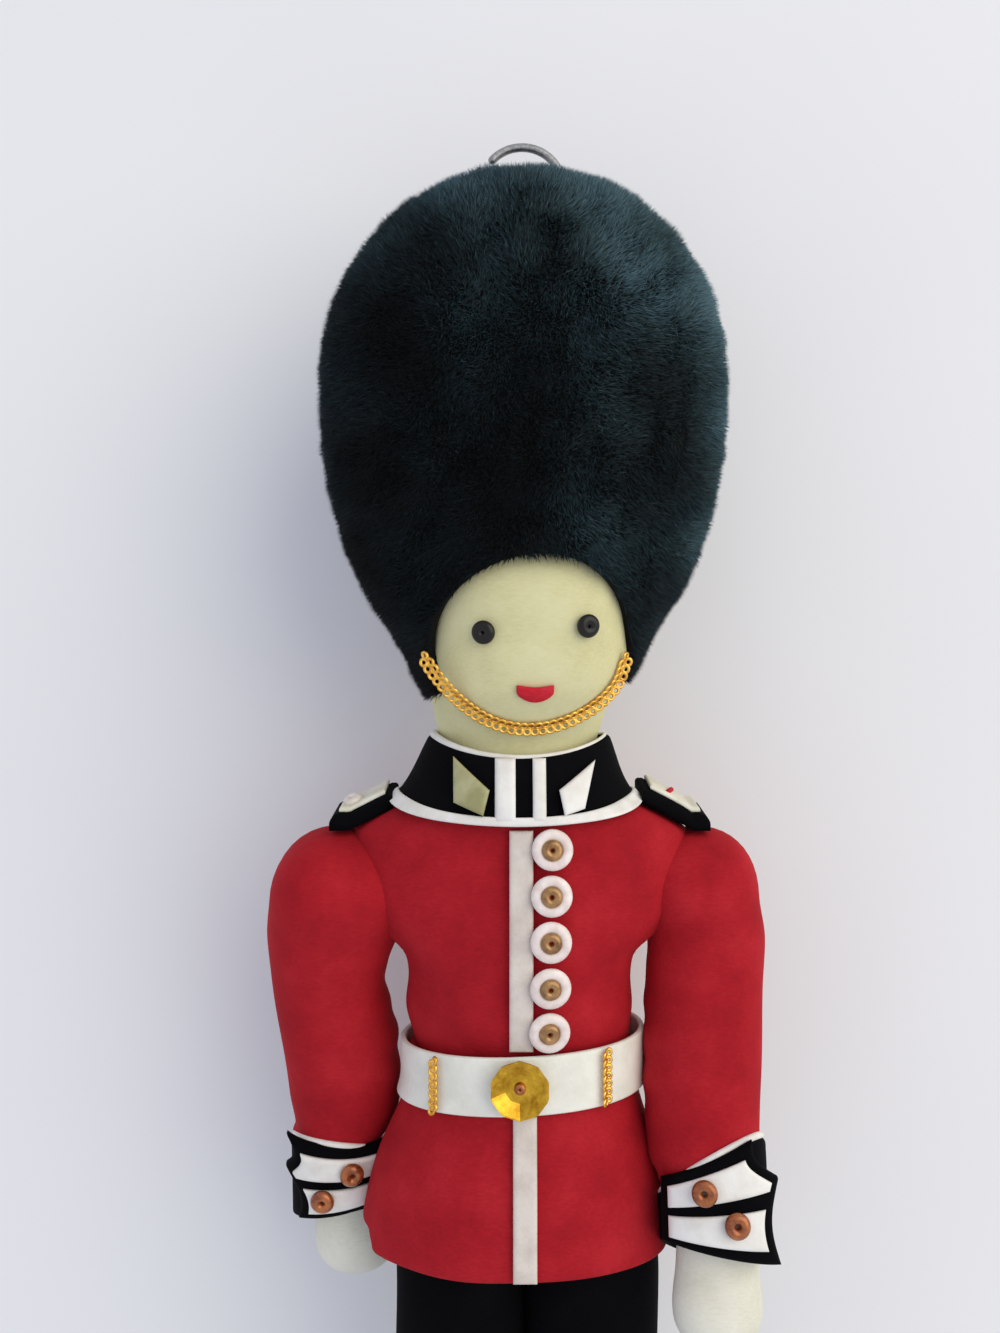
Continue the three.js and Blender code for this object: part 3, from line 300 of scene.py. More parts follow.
red_felt = felt("red felt", srgb(140, 12, 24), srgb(164, 21, 32), srgb(182, 34, 43), sheen=0.2)
black_felt = felt("black felt", srgb(1, 1, 3), srgb(3, 3, 6), srgb(9, 9, 14), sheen=0.03, shine=0.07)
cream_felt = felt("cream felt", srgb(199, 191, 142), srgb(213, 207, 158), srgb(221, 216, 172), relief=0.12)
white_felt = felt("white felt", srgb(210, 205, 186), srgb(226, 222, 204), srgb(236, 233, 220), relief=0.16)
mouth_felt = felt("mouth felt", srgb(170, 22, 38), srgb(196, 34, 48), srgb(212, 62, 70))
plush_backing = felt("plush backing", srgb(3, 4, 5), srgb(7, 9, 10), srgb(14, 17, 19), sheen=0.05)
print("felts made")

# %% [markdown]
# The other finishes: vinyl and ribbon are smooth with a fine grain, metal is bright with small scuffs, and
# beads and sequins are glossy plastic with a clear coat. Each keeps some change of tone over its surface.

# %% Vinyl, metal, beads and sequins


def vinyl(name, dark, light, rough, grain_mm):
    finish = Finish(name, Specular_IOR_Level=0.4)
    place = finish.place()
    cells = finish.node("TexVoronoi", None, {"Vector": place, "Scale": 1 / (grain_mm * MM)}, "Distance")
    soil = finish.noise(place, 320.0, 4.0, 0.6)
    finish.drive(Base_Color=finish.ramp(soil, [(0.35, dark), (0.6, light)]))
    finish.drive(Roughness=soil * 0.25 + rough)
    finish.drive(Normal=finish.bump(cells, 0.12, 0.12))
    return finish


def metal(name, dark, light, rough, scale):
    finish = Finish(name, Metallic=1.0)
    scuff = finish.noise(finish.place(), scale, 4.0, 0.65)
    finish.drive(Base_Color=finish.ramp(scuff, [(0.3, dark), (0.65, light)]))
    finish.drive(Roughness=scuff * 0.3 + rough)
    finish.drive(Normal=finish.bump(scuff, 0.15, 0.05))
    return finish


def glossy(name, dark, light, rough, coat=0.6, metallic=0.0, shine=0.5):
    finish = Finish(name, Coat_Weight=coat, Coat_Roughness=0.08, Metallic=metallic, Specular_IOR_Level=shine)
    swirl = finish.noise(finish.place(), 900.0, 3.0, 0.6)
    finish.drive(Base_Color=finish.ramp(swirl, [(0.32, dark), (0.66, light)]))
    finish.drive(Roughness=swirl * 0.2 + rough)
    return finish


white_vinyl = vinyl("white vinyl", srgb(222, 220, 206), srgb(234, 232, 219), 0.34, 0.5)
ivory_ribbon = vinyl("ivory ribbon", srgb(200, 187, 175), srgb(219, 208, 197), 0.5, 0.28)
cream_ribbon = vinyl("cream ribbon", srgb(208, 202, 178), srgb(230, 226, 208), 0.5, 0.28)
white_ribbon = vinyl("white ribbon", srgb(222, 217, 208), srgb(236, 233, 226), 0.5, 0.28)
# This is the same ribbon as the white patch; its khaki tone is a painted reflection.
painted_reflection_ribbon = vinyl("painted reflection ribbon", srgb(150, 146, 100), srgb(176, 172, 130), 0.42, 0.3)
gold_chain = metal("gold chain", srgb(196, 134, 44), srgb(250, 205, 104), 0.16, 1500.0)
gold_foil = metal("gold foil", srgb(150, 104, 24), srgb(214, 172, 58), 0.08, 700.0)
steel_wire = metal("steel wire", srgb(120, 122, 126), srgb(168, 170, 174), 0.28, 2600.0)
pearl_sequin = glossy("pearl sequin", srgb(222, 203, 194), srgb(240, 228, 221), 0.36, 0.3)
bronze_bead = glossy("bronze bead", srgb(112, 74, 38), srgb(176, 134, 84), 0.2, 0.5, 0.55)
pearl_bead = glossy("pearl bead", srgb(206, 190, 176), srgb(236, 226, 214), 0.2)
copper_bead = glossy("copper bead", srgb(120, 56, 24), srgb(176, 102, 50), 0.2, 0.5, 0.5)
black_bead = glossy("black bead", srgb(8, 7, 7), srgb(20, 18, 18), 0.2, 0.15, shine=0.25)
print("trim finishes made")

# %% [markdown]
# Every surface here is a grid of points. `grid_faces` joins neighbours into quads, `joined` puts several
# surfaces into one mesh, `facing_out` turns a surface round when it encloses a negative volume, and `put`
# writes the arrays into a mesh, gives it its finish and body, and hides the CAD nodes that it stands for.

# %% Grids into meshes


def grid_faces(rows, columns, loop_rows=False, loop_columns=False):
    """Quads between neighbouring grid points. A looped direction joins its last line to its first."""
    i, j = np.meshgrid(
        np.arange(rows if loop_rows else rows - 1),
        np.arange(columns if loop_columns else columns - 1),
        indexing="ij",
    )
    below, beside = (i + 1) % rows, (j + 1) % columns
    corners = [i * columns + j, i * columns + beside, below * columns + beside, below * columns + j]
    return np.stack(corners, -1).reshape(-1, 4)


def enclosed(points, faces):
    """Six times the signed volume, summed over a fan of triangles in each face."""
    first = points[faces[:, 0]]
    fans = [(faces[:, k], faces[:, k + 1]) for k in range(1, faces.shape[1] - 1)]
    return sum(np.einsum("ij,ij->", first, np.cross(points[a], points[b])) for a, b in fans)


def facing_out(points, groups):
    volume = sum(enclosed(points, faces) for faces in groups)
    return points, groups if volume > 0 else [faces[:, ::-1] for faces in groups]


def joined(*surfaces):
    """Several surfaces as one, each one's point numbers moved past those before it."""
    starts = np.cumsum([0] + [len(points) for points, _ in surfaces])
    points = np.concatenate([points for points, _ in surfaces])
    groups = [faces + start for (_, own), start in zip(surfaces, starts) for faces in own]
    return points, groups


def capped(grid, first, last):
    """A grid looped round its columns, closed by a point at each end."""
    rows, columns = grid.shape[:2]
    ring = np.arange(columns)
    after = np.roll(ring, -1)
    count = rows * columns
    top = count - columns
    ends = [
        np.stack([np.full(columns, count), after, ring], -1),
        np.stack([np.full(columns, count + 1), top + ring, top + after], -1),
    ]
    points = np.concatenate([grid.reshape(-1, 3), [first, last]])
    return facing_out(points, [grid_faces(rows, columns, loop_columns=True), *ends])


def slab(lower, upper):
    """Two matching grids as the faces of a sheet, joined round their rim."""
    rows, columns = lower.shape[:2]
    count = rows * columns
    index = np.arange(count).reshape(rows, columns)
    rim = np.concatenate([index[0, :-1], index[:-1, -1], index[-1, :0:-1], index[:0:-1, 0]])
    after = np.roll(rim, -1)
    faces = grid_faces(rows, columns)
    sides = np.stack([rim, after, after + count, rim + count], -1)
    points = np.concatenate([lower.reshape(-1, 3), upper.reshape(-1, 3)])
    return facing_out(points, [faces[:, ::-1], faces + count, sides])


def ring_grid(grid):
    """A grid looped both ways, such as a bead or a band."""
    rows, columns = grid.shape[:2]
    return facing_out(grid.reshape(-1, 3), [grid_faces(rows, columns, True, True)])


def put(name, surface, finish, body, nodes=()):
    """Writes a surface into a mesh in the frame, and says what it rides on and stands for."""
    points, groups = surface
    sizes = np.concatenate([np.full(len(faces), faces.shape[1]) for faces in groups])
    corners = np.concatenate([faces.ravel() for faces in groups])
    mesh = bpy.data.meshes.new(name)
    mesh.vertices.add(len(points))
    mesh.vertices.foreach_set("co", in_row(points).astype(np.float32).ravel())
    mesh.loops.add(len(corners))
    mesh.loops.foreach_set("vertex_index", corners.astype(np.int32))
    mesh.polygons.add(len(sizes))
    mesh.polygons.foreach_set("loop_start", (np.cumsum(sizes) - sizes).astype(np.int32))
    mesh.polygons.foreach_set("loop_total", sizes.astype(np.int32))
    mesh.polygons.foreach_set("use_smooth", np.ones(len(sizes), bool))
    mesh.update(calc_edges=True)
    mesh.materials.append(finish.material)
    piece = bpy.data.objects.new(name, mesh)
    bpy.context.scene.collection.objects.link(piece)
    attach(piece, body)
    if nodes:
        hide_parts(*nodes)
    return piece


print("mesh helpers ready")

# %% [markdown]
# A stuffed form is a stack of ovals. Between listed heights the half width, half depth and middle follow a
# smooth cubic, and an end may close in a dome. `square` above 2 makes an oval boxier, as a well-packed
# chest is. `grow` moves the surface outwards, so that belts, piping and patches can lie on it.

# %% Stuffed forms
SEAM_GAP = 0.3
FELT_MM = 0.9
VINYL_MM = 0.6
LACE_MM = 0.5


def around(count):
    """Angles spread evenly once round."""
    return np.linspace(0, 2 * np.pi, count, endpoint=False)


def unit(vectors):
    return vectors / np.linalg.norm(vectors, axis=-1, keepdims=True)


def lerp(a, b, t):
    return a + (b - a) * t


class StuffedForm:
    def __init__(self, z, w, d, x=0.0, y=0.0, square=2.0, bottom_dome=0.0, top_dome=0.0, fullness=2.0):
        self.z = np.asarray(z, float)
        given = {"w": w, "d": d, "x": x, "y": y, "square": square}
        columns = {key: np.asarray(value, float) for key, value in given.items()}
        self.columns = {key: np.broadcast_to(column, self.z.shape) for key, column in columns.items()}
        self.bottom_dome = bottom_dome
        self.top_dome = top_dome
        self.fullness = fullness

    def value(self, key, z):
        """A cubic between stations, its slope at each one set by the two stations beside it."""
        column = self.columns[key]
        wide_z = np.concatenate([self.z[:1], self.z, self.z[-1:]])
        wide = np.concatenate([column[:1], column, column[-1:]])
        slope = (wide[2:] - wide[:-2]) / (wide_z[2:] - wide_z[:-2])
        k = np.clip(np.searchsorted(self.z, z) - 1, 0, len(self.z) - 2)
        span = self.z[k + 1] - self.z[k]
        t = np.clip((z - self.z[k]) / span, 0, 1)
        rise = column[k + 1] - column[k]
        start = slope[k] * span - rise
        end = rise - slope[k + 1] * span
        return column[k] + rise * t + t * (1 - t) * (start * (1 - t) + end * t)

    def cap(self, depth, dome, grow):
        """How far a dome has drawn the section in, at a depth below its tip."""
        if dome == 0:
            return 1.0
        climb = np.clip(1 - depth / (dome + grow), 0, 1)
        return (1 - climb**self.fullness) ** (1 / self.fullness)

    def section(self, z, grow=0.0):
        z = np.asarray(z, float)
        drawn = self.cap(self.z[-1] + grow - z, self.top_dome, grow)
        drawn = drawn * self.cap(z - self.z[0] + grow, self.bottom_dome, grow)
        w = (self.value("w", z) + grow) * drawn
        d = (self.value("d", z) + grow) * drawn
        return self.value("x", z), self.value("y", z), w, d, self.value("square", z)

    def point(self, angle, z, grow=0.0):
        """The point at an angle from the front: sine and cosine scaled onto the boxed oval."""
        x, y, w, d, square = self.section(z, grow)
        s, c = np.sin(angle), np.cos(angle)
        reach = (np.abs(s) ** square + np.abs(c) ** square) ** (1 / square)
        return np.stack(np.broadcast_arrays(x + w * s / reach, y - d * c / reach, z), -1)

    def front(self, x, z, grow=0.0):
        """The point of the front face above (x, z)."""
        middle, y, w, d, square = self.section(z, grow)
        share = np.clip(np.abs(x - middle) / w, 0, 1)
        return np.stack(np.broadcast_arrays(x, y - d * (1 - share**square) ** (1 / square), z), -1)

    def front_normal(self, x, z, grow=0.0):
        step = 0.05
        across = self.front(x + step, z, grow) - self.front(x - step, z, grow)
        up = self.front(x, z + step, grow) - self.front(x, z - step, grow)
        return unit(np.cross(across, up))

    def axis(self, z):
        return np.array([self.value("x", z), self.value("y", z), z])

    def heights(self, rows, dome_rows=12):
        """Ring heights, drawn closer together where an end rounds over."""
        low, high = self.z[0] + self.bottom_dome, self.z[-1] - self.top_dome
        turn = np.sin(np.linspace(0, np.pi / 2, dome_rows))[1:-1]
        parts = [np.linspace(low, high, rows)]
        if self.bottom_dome:
            parts.insert(0, low - self.bottom_dome * turn[::-1])
        if self.top_dome:
            parts.append(high + self.top_dome * turn)
        return np.concatenate(parts)

    def closed(self, rows, columns, swell=None):
        """The whole form as rings, with a point at each end. `swell(angle, z)` puffs or pinches it."""
        z = self.heights(rows)[:, None]
        angle = around(columns)[None, :]
        grid = self.point(angle, z)
        if swell is not None:
            middle = np.stack(np.broadcast_arrays(self.value("x", z), self.value("y", z), z), -1)
            spoke = grid - middle
            spoke[..., 2] = 0
            length = np.linalg.norm(spoke, axis=-1, keepdims=True)
            grid = grid + spoke / np.maximum(length, 1e-6) * swell(angle, z)[..., None]
        return capped(grid, self.axis(self.z[0]), self.axis(self.z[-1]))


def oblong(low, high, thickness, rows):
    """Section of a strip, listed once round: (distance off the form, height) with rounded corners."""
    r = 0.42 * thickness
    turn = np.linspace(0, np.pi / 2, 4)
    side = np.linspace(low + r, high - r, rows)[1:-1]
    middles = [(thickness - r, high - r), (r, high - r), (r, low + r), (thickness - r, low + r)]
    corner = [
        np.stack([off + r * np.cos(turn + k * np.pi / 2), z + r * np.sin(turn + k * np.pi / 2)], -1)
        for k, (off, z) in enumerate(middles)
    ]
    outer = np.stack([np.full(len(side), thickness), side], -1)
    inner = np.stack([np.zeros(len(side)), side[::-1]], -1)
    return np.concatenate([outer, corner[0], corner[1], inner, corner[2], corner[3]])


def level_edge(angle):
    return 0 * angle


def band(
    form,
    low,
    high,
    thickness,
    grow=0.0,
    edge=level_edge,
    low_edge=None,
    wave=level_edge,
    rows=12,
    columns=128,
):
    """A strip round a form: the oblong section carried round by angle.
    `edge` and `low_edge` shift its top and bottom, and `wave` puffs it out towards the bottom."""
    off, z = oblong(low, high, thickness, rows).T
    angle = around(columns)[None, :]
    hang = np.clip((high - z[:, None]) / (high - low), 0, 1)
    shift = lerp(edge(angle), (low_edge or edge)(angle), hang)
    out = grow + off[:, None] + wave(angle) * hang**2
    return ring_grid(form.point(angle, z[:, None] + shift, out))


def piping(form, z, radius, grow=0.0, edge=level_edge, columns=128, sides=12):
    """A round cord laid round a form: a circle carried round by angle."""
    turn = around(sides)[:, None]
    angle = around(columns)[None, :]
    grid = form.point(angle, z + edge(angle) + 0 * turn, grow + radius * np.cos(turn))
    grid[..., 2] += radius * np.sin(turn)
    return ring_grid(grid)


def eased(count):
    """Steps from 0 to 1 that crowd at both ends, where an edge rounds over."""
    return 0.5 - 0.5 * np.cos(np.linspace(0, np.pi, count))


def edge_lift(u, v, width, height, thickness):
    """Thickness of a cut sheet: full inside, rounding off over one thickness at its edges."""
    inside = np.minimum(np.minimum(u, 1 - u) * width, np.minimum(v, 1 - v) * height)
    share = np.clip(inside / (0.8 * thickness), 0, 1)
    return thickness * (0.4 + 0.6 * np.sqrt(1 - (1 - share) ** 2))


def applique(form, outline, thickness, grow=SEAM_GAP, columns=24, rows=24):
    """A cut piece laid on a form's front. `outline` maps u and v from 0 to 1 onto x and z."""
    u, v = eased(columns)[None, :], eased(rows)[:, None]
    x, z = np.broadcast_arrays(*outline(u, v))
    lift = edge_lift(u, v, np.ptp(x, 1).mean(), np.ptp(z, 0).mean(), thickness)
    return slab(form.front(x, z, grow), form.front(x, z, grow + lift))


def quadrilateral(a, b, c, d):
    """Outline from its lower left corner, then lower right, upper right and upper left."""

    def outline(u, v):
        return tuple(lerp(lerp(a[k], b[k], u), lerp(d[k], c[k], u), v) for k in (0, 1))

    return outline


def rectangle(x0, x1, z0, z1):
    return quadrilateral((x0, z0), (x1, z0), (x1, z1), (x0, z1))


print("form helpers ready")

# %% [markdown]
# Beads and sequins are turned shapes: a profile carried round an axis, then stood on a face with that axis
# along the face's normal. The chain is one oval wire ring repeated along a path, each ring rolled the other
# way from the last, as the links of a flat chain are.

# %% Turned pieces and chain


def turned(profile, columns):
    """A closed (radius, height) profile carried round the Y axis."""
    radius, y = np.asarray(profile, float).T
    angle = around(columns)[None, :]
    out = radius[:, None]
    grid = np.stack(np.broadcast_arrays(out * np.sin(angle), y[:, None], out * np.cos(angle)), -1)
    return ring_grid(grid)


def axes_on(normal):
    """Rows of three axes, the second along the normal."""
    normal = unit(normal)
    side = unit(np.cross(normal, (0.0, 0.0, 1.0)))
    return np.stack([side, normal, np.cross(side, normal)])


def stood(surface, foot, normal, off=0.0):
    points, groups = surface
    return facing_out(foot + off * normal + points @ axes_on(normal), groups)


def on_front(surface, form, x, z, grow):
    return stood(surface, form.front(x, z, grow), form.front_normal(x, z, grow))


def bead(diameter, hole_share=0.14, height_share=0.43):
    """A round bead or a thick ring: an oval tube section carried round its hole."""
    reach = diameter / 2
    hole = reach * hole_share
    turn = around(20)
    radius = (reach + hole) / 2 + (reach - hole) / 2 * np.cos(turn)
    height = height_share * diameter * (np.sin(turn) + 1) / 2
    return turned(np.stack([radius, height], -1), 32)


def cup_sequin(diameter, depth, hole=0.35, sheet=0.28, facets=0):
    """A dished disc with a thread hole; facets flatten its rim into straight sides."""
    rim = diameter / 2
    floor = 0.5 * rim
    upper = [(hole, sheet), (floor * 0.8, sheet), (floor, sheet * 1.15), (0.75 * rim, depth * 0.62)]
    upper += [(rim * 0.96, depth * 0.96), (rim, depth)]
    lower = [(rim, depth - 0.5 * sheet), (0.96 * rim, depth - sheet)]
    lower += [(floor, 0.1 * sheet), (floor * 0.8, 0), (hole, 0)]
    points, groups = turned(upper + lower, 48)
    if facets:
        angle = np.arctan2(points[:, 0], points[:, 2])
        step = 2 * np.pi / facets
        off = (angle % step) - step / 2
        flat = np.cos(step / 2) / np.cos(off)
        points = points * np.stack([flat, np.ones(len(flat)), flat], -1)
    return points, groups


def chain(path, outward, link, wire, stretch, roll, spread):
    """Wire rings along a path, in two rows by turns: each is a circle swept round an oval."""
    middle = (path[1:] + path[:-1]) / 2
    along = unit(np.diff(path, axis=0))
    up = (outward[1:] + outward[:-1]) / 2
    across = unit(np.cross(up, along))
    up = np.cross(along, across)
    turn = np.where(np.arange(len(middle)) % 2 == 0, 1.0, -1.0)[:, None]
    middle = middle + across * spread * turn
    lean = roll * turn
    side = across * np.cos(lean) + up * np.sin(lean)
    face = up * np.cos(lean) - across * np.sin(lean)
    u = around(20)[:, None]
    v = around(8)[None, :]
    reach = (link - wire) / 2 + wire / 2 * np.cos(v)
    oval = [stretch * reach * np.cos(u), reach * np.sin(u), wire / 2 * np.sin(v)]
    local = np.stack(np.broadcast_arrays(*oval), -1)
    grids = middle[:, None, None, :] + np.einsum("uvk,lkj->luvj", local, np.stack([along, side, face], 1))
    return joined(*[ring_grid(grid) for grid in grids])


def run_of(line):
    """How far along the line each of its points lies."""
    return np.concatenate([[0.0], np.cumsum(np.linalg.norm(np.diff(line, axis=0), axis=1))])


def tube(path, reference, radius, sides=16):
    """A circle carried along a path; the ends are rounded by drawing the circle in over a few steps."""
    tangent = unit(np.gradient(path, axis=0))
    first = unit(np.cross(tangent, reference))
    second = np.cross(tangent, first)
    turn = around(sides)[None, :, None]
    run = run_of(path)
    near_end = np.clip(np.minimum(run, run[-1] - run) / radius, 0, 1)
    drawn = radius * np.sqrt(np.clip(1 - (1 - near_end) ** 2, 0.02, 1))
    ring = first[:, None, :] * np.cos(turn) + second[:, None, :] * np.sin(turn)
    return capped(path[:, None, :] + ring * drawn[:, None, None], path[0], path[-1])


print("turning and chain helpers ready")

# %% [markdown]
# The tunic is a felt cover packed hard with wadding. It is narrow at the belt, fills at the chest, and
# runs out at the top into a yoke that meets the arms. Two soft pinches run down from the armholes, and the
# cloth puffs where the belt nips it. The form is boxier at the shoulders, so that chest and arm meet in a
# shallow valley and not in a deep slot.

# %% Tunic
HEM_Z = 46.5
SEAT_Z = 52.5
WAIST_Z = 65.0
COLLAR_Z = 92.2
COLLAR_TOP_Z = 98.2
HEAD_Z = 107.3
SHOULDER_Z = 81.4
SHOULDER_X = 18.92
PUFF_MM = 0.35
PUFF_Z = 70.5
PINCH_MM = 0.3
PINCH_Z = 79.0
PACKING_MM = 0.12

tunic = StuffedForm(
    z=[SEAT_Z, WAIST_Z, 70.0, 74.5, 76.3, 78.2, 81.0, 85.0, 87.6, 89.0, COLLAR_Z, 93.6],
    w=[9.0, 10.7, 11.3, 11.5, 12.1, 14.2, 16.6, 17.4, 17.3, 16.8, 11.1, 9.2],
    d=[7.0, 8.0, 8.8, 9.3, 9.4, 9.3, 9.2, 9.0, 8.75, 8.6, 8.6, 7.7],
    x=[0.0, 0.0, -0.35, -0.4, -0.4, -0.3, -0.2, -0.2, -0.3, -0.4, -0.8, -0.7],
    square=[2.0, 2.1, 2.2, 2.3, 2.3, 2.3, 2.3, 2.3, 2.2, 2.1, 2.0, 2.0],
    bottom_dome=1.5,
    fullness=4.0,
)


def hump(value, middle, width):
    """A smooth bump of height 1, which fades out over a width."""
    return np.exp(-(((value - middle) / width) ** 2))


def from_front(angle):
    """The same angle between minus and plus half a turn, counted from the front."""
    return (angle + np.pi) % (2 * np.pi) - np.pi


def tunic_swell(angle, z):
    """Puff above the belt, faint pinches under the arms, and slow unevenness in the packing."""
    belt_puff = PUFF_MM * hump(z, PUFF_Z, 2.2)
    pinch = -PINCH_MM * hump(np.abs(from_front(angle)), np.pi / 3, 0.16) * hump(z, PINCH_Z, 6.5)
    packing = PACKING_MM * np.sin(3 * angle + 0.31 * z) * np.cos(0.23 * z + 0.4)
    fade = np.clip((COLLAR_Z - 3.5 - z) / 4, 0, 1)
    return (belt_puff + pinch + packing) * fade


tunic_nodes = ("tunic_body", "tunic_stuffing")
tunic_surface = tunic.closed(72, 128, tunic_swell)
torso = put("tunic_cloth", tunic_surface, red_felt, "body", tunic_nodes)
print("tunic", len(torso.data.polygons), "faces")

# %% [markdown]
# The skirt is one cut of felt, caught round the waist under the belt and flaring to the hem. It is a
# sheet and not stuffed, so it is a band of one thickness with slow waves that grow towards the hem. The
# belt is a strip of white vinyl over its top.

# %% Skirt and belt
BELT_LOW = 62.25
BELT_HIGH = 67.75
SKIRT_TOP = 66.5
BELT_GROW = FELT_MM + SEAM_GAP
BELT_FACE = BELT_GROW + VINYL_MM
BELT_TILT = 0.6
BELT_LAP = 0.2
SKIRT_LEAN = -0.6
HEM_STEP = 2.0
HEM_DROP = 0.4

skirt_form = StuffedForm(
    z=[HEM_Z, 50.0, 55.0, BELT_LOW, SKIRT_TOP],
    w=[14.85, 14.6, 13.6, 11.0, 10.8],
    d=[9.4, 9.3, 9.1, 8.2, 8.2],
    x=[SKIRT_LEAN, SKIRT_LEAN, 0.7 * SKIRT_LEAN, -0.1, -0.1],
    square=[2.3, 2.3, 2.2, 2.1, 2.1],
)


def hem_wave(angle):
    """Slow waves that stay flat at the front, where the placket is."""
    away = 1 - hump(from_front(angle), 0.0, 0.5)
    return away * (0.35 * np.sin(3 * angle + 0.8) + 0.2 * np.sin(5 * angle + 2.1))


def smooth_step(low, high, z):
    t = np.clip((z - low) / (high - low), 0, 1)
    return t * t * (3 - 2 * t)


def hem_drop(angle):
    """The front of the hem hangs a little lower, and ends at one side in a step up."""
    side = from_front(angle)
    step = smooth_step(-1.12, -1.24, side) * smooth_step(-2.6, -2.0, side)
    return HEM_STEP * step - HEM_DROP * hump(side, -0.4, 0.8)


def belt_edge(angle):
    return BELT_TILT * np.sin(angle)


skirt_surface = band(
    skirt_form, HEM_Z, SKIRT_TOP, FELT_MM, low_edge=hem_drop, wave=hem_wave, rows=30, columns=160
)
skirt = put("skirt_cloth", skirt_surface, red_felt, "body", ("tunic_skirt",))
belt_surface = band(skirt_form, BELT_LOW - BELT_LAP, BELT_HIGH, VINYL_MM, BELT_GROW, belt_edge)
put("belt_strip", belt_surface, white_vinyl, "body", ("belt",))
print("skirt and belt made")

# %% [markdown]
# The buckle is a gold cup sequin, faceted at its rim, sewn on with a small bead. The slides beside it are
# short lengths of the same fine chain as the chin strap, laid over the belt from edge to edge.

# %% Buckle and slides
CHAIN_LINK = 0.92
CHAIN_WIRE = 0.3
CHAIN_STRETCH = 1.12
CHAIN_ROLL = np.radians(18)
CHAIN_SPREAD = 0.32
CHAIN_PITCH = 0.37
BUCKLE_MM = 5.8
BUCKLE_X = -0.5
BUCKLE_CUP = 1.0
BUCKLE_FACETS = 10
BUCKLE_BEAD_MM = 1.1
SLIDES = [("left", 8.0), ("right", -8.9)]
SLIDE_LINKS = 14
SLIDE_LIFT = 0.2
SLIDE_LINK = 0.85 * CHAIN_LINK
SLIDE_SPREAD = 0.6 * CHAIN_SPREAD

sequin = cup_sequin(BUCKLE_MM, BUCKLE_CUP, facets=BUCKLE_FACETS)
buckle = on_front(sequin, skirt_form, BUCKLE_X, WAIST_Z, BELT_FACE + SEAM_GAP)
buckle_piece = put("buckle_sequin", buckle, gold_foil, "body", ("belt_buckle",))
buckle_piece.data.polygons.foreach_set("use_smooth", np.zeros(len(buckle_piece.data.polygons), bool))
stud = on_front(bead(BUCKLE_BEAD_MM), skirt_form, BUCKLE_X, WAIST_Z, BELT_FACE + 2 * SEAM_GAP)
put("buckle_bead", stud, copper_bead, "body", ())


def belt_slide(x):
    """A chain straight up the belt's face, as far along the belt's tilt as its x is."""
    tilt = BELT_TILT * x / skirt_form.columns["w"][-1]
    z = np.linspace(BELT_LOW, BELT_HIGH - BELT_LAP, SLIDE_LINKS + 1) + tilt
    path = skirt_form.front(x + 0 * z, z, BELT_FACE + SEAM_GAP + SLIDE_LIFT)
    out = skirt_form.front_normal(x + 0 * z, z, BELT_FACE)
    return chain(path, out, SLIDE_LINK, CHAIN_WIRE, CHAIN_STRETCH, CHAIN_ROLL, SLIDE_SPREAD)


for name, slide_x in SLIDES:
    put(f"{name}_slide_chain", belt_slide(slide_x), gold_chain, "body", (f"{name}_belt_slide",))
print("buckle and slides made")

# %% [markdown]
# The placket is a white ribbon down the front, cut at the belt. The buttons are pearly sequins held by a
# bronze bead, in a row just beside it. Each one is stood on the chest along the cloth's own normal.

# %% Placket and buttons
PLACKET_HALF = 1.15
PLACKET_X = -0.35
COLLAR_DIP = 1.9
PIPING_R = 0.6
BUTTON_MM = 4.0
BUTTON_BEAD_MM = 2.1
BUTTON_COUNT = 5
BUTTON_X = (2.6, 2.3)
BUTTON_LIFT = 1.0
STUD_LIFT = 0.35
PLACKET_LIFT = 0.55
BUTTON_PITCH = 4.35
FIRST_BUTTON_Z = COLLAR_Z - 4.6

upper_low, upper_high = BELT_HIGH + SEAM_GAP, COLLAR_Z - COLLAR_DIP - PIPING_R - SEAM_GAP
upper_cut = rectangle(PLACKET_X - PLACKET_HALF, PLACKET_X + PLACKET_HALF, upper_low, upper_high)
lower_cut = rectangle(-PLACKET_HALF, PLACKET_HALF, HEM_Z, BELT_LOW - SEAM_GAP)
upper_strip = applique(tunic, upper_cut, LACE_MM, PLACKET_LIFT, columns=14, rows=90)
lower_strip = applique(skirt_form, lower_cut, LACE_MM, BELT_GROW, columns=14, rows=60)
put("upper_placket_ribbon", upper_strip, ivory_ribbon, "body", ("upper_placket",))
put("lower_placket_ribbon", lower_strip, ivory_ribbon, "body", ("lower_placket",))

for number in range(1, BUTTON_COUNT + 1):
    button_z = FIRST_BUTTON_Z - (number - 1) * BUTTON_PITCH
    button_x = lerp(*BUTTON_X, (number - 1) / (BUTTON_COUNT - 1))
    disc = on_front(bead(BUTTON_MM, 0.4, 0.22), tunic, button_x, button_z, BUTTON_LIFT)
    put(f"button_sequin_{number}", disc, pearl_sequin, "body", (f"button_{number}",))
    stud = on_front(bead(BUTTON_BEAD_MM), tunic, button_x, button_z, BUTTON_LIFT + STUD_LIFT)
    put(f"button_stud_{number}", stud, bronze_bead, "body", (f"button_bead_{number}",))
print("placket and buttons made")

# %% [markdown]
# The stand collar is a black felt band that follows the neck seam, lower at the front than at the sides.
# White piping edges it top and bottom, two white strips frame the opening, and a patch sits on each side.

# %% Collar
NECK_W = 8.1
NECK_D = 6.5
ON_COLLAR = FELT_MM + SEAM_GAP
TAPE_HALF = 0.44
STRIPS = [(-2.9, -0.9), (0.75, 2.05)]
PATCHES = {
    "left": ((3.8, 90.9), (5.8, 91.5), (7.0, 96.0), (3.3, 93.3)),
    "right": ((-4.0, 90.9), (-6.9, 92.1), (-7.0, 96.4), (-3.4, 93.3)),
}

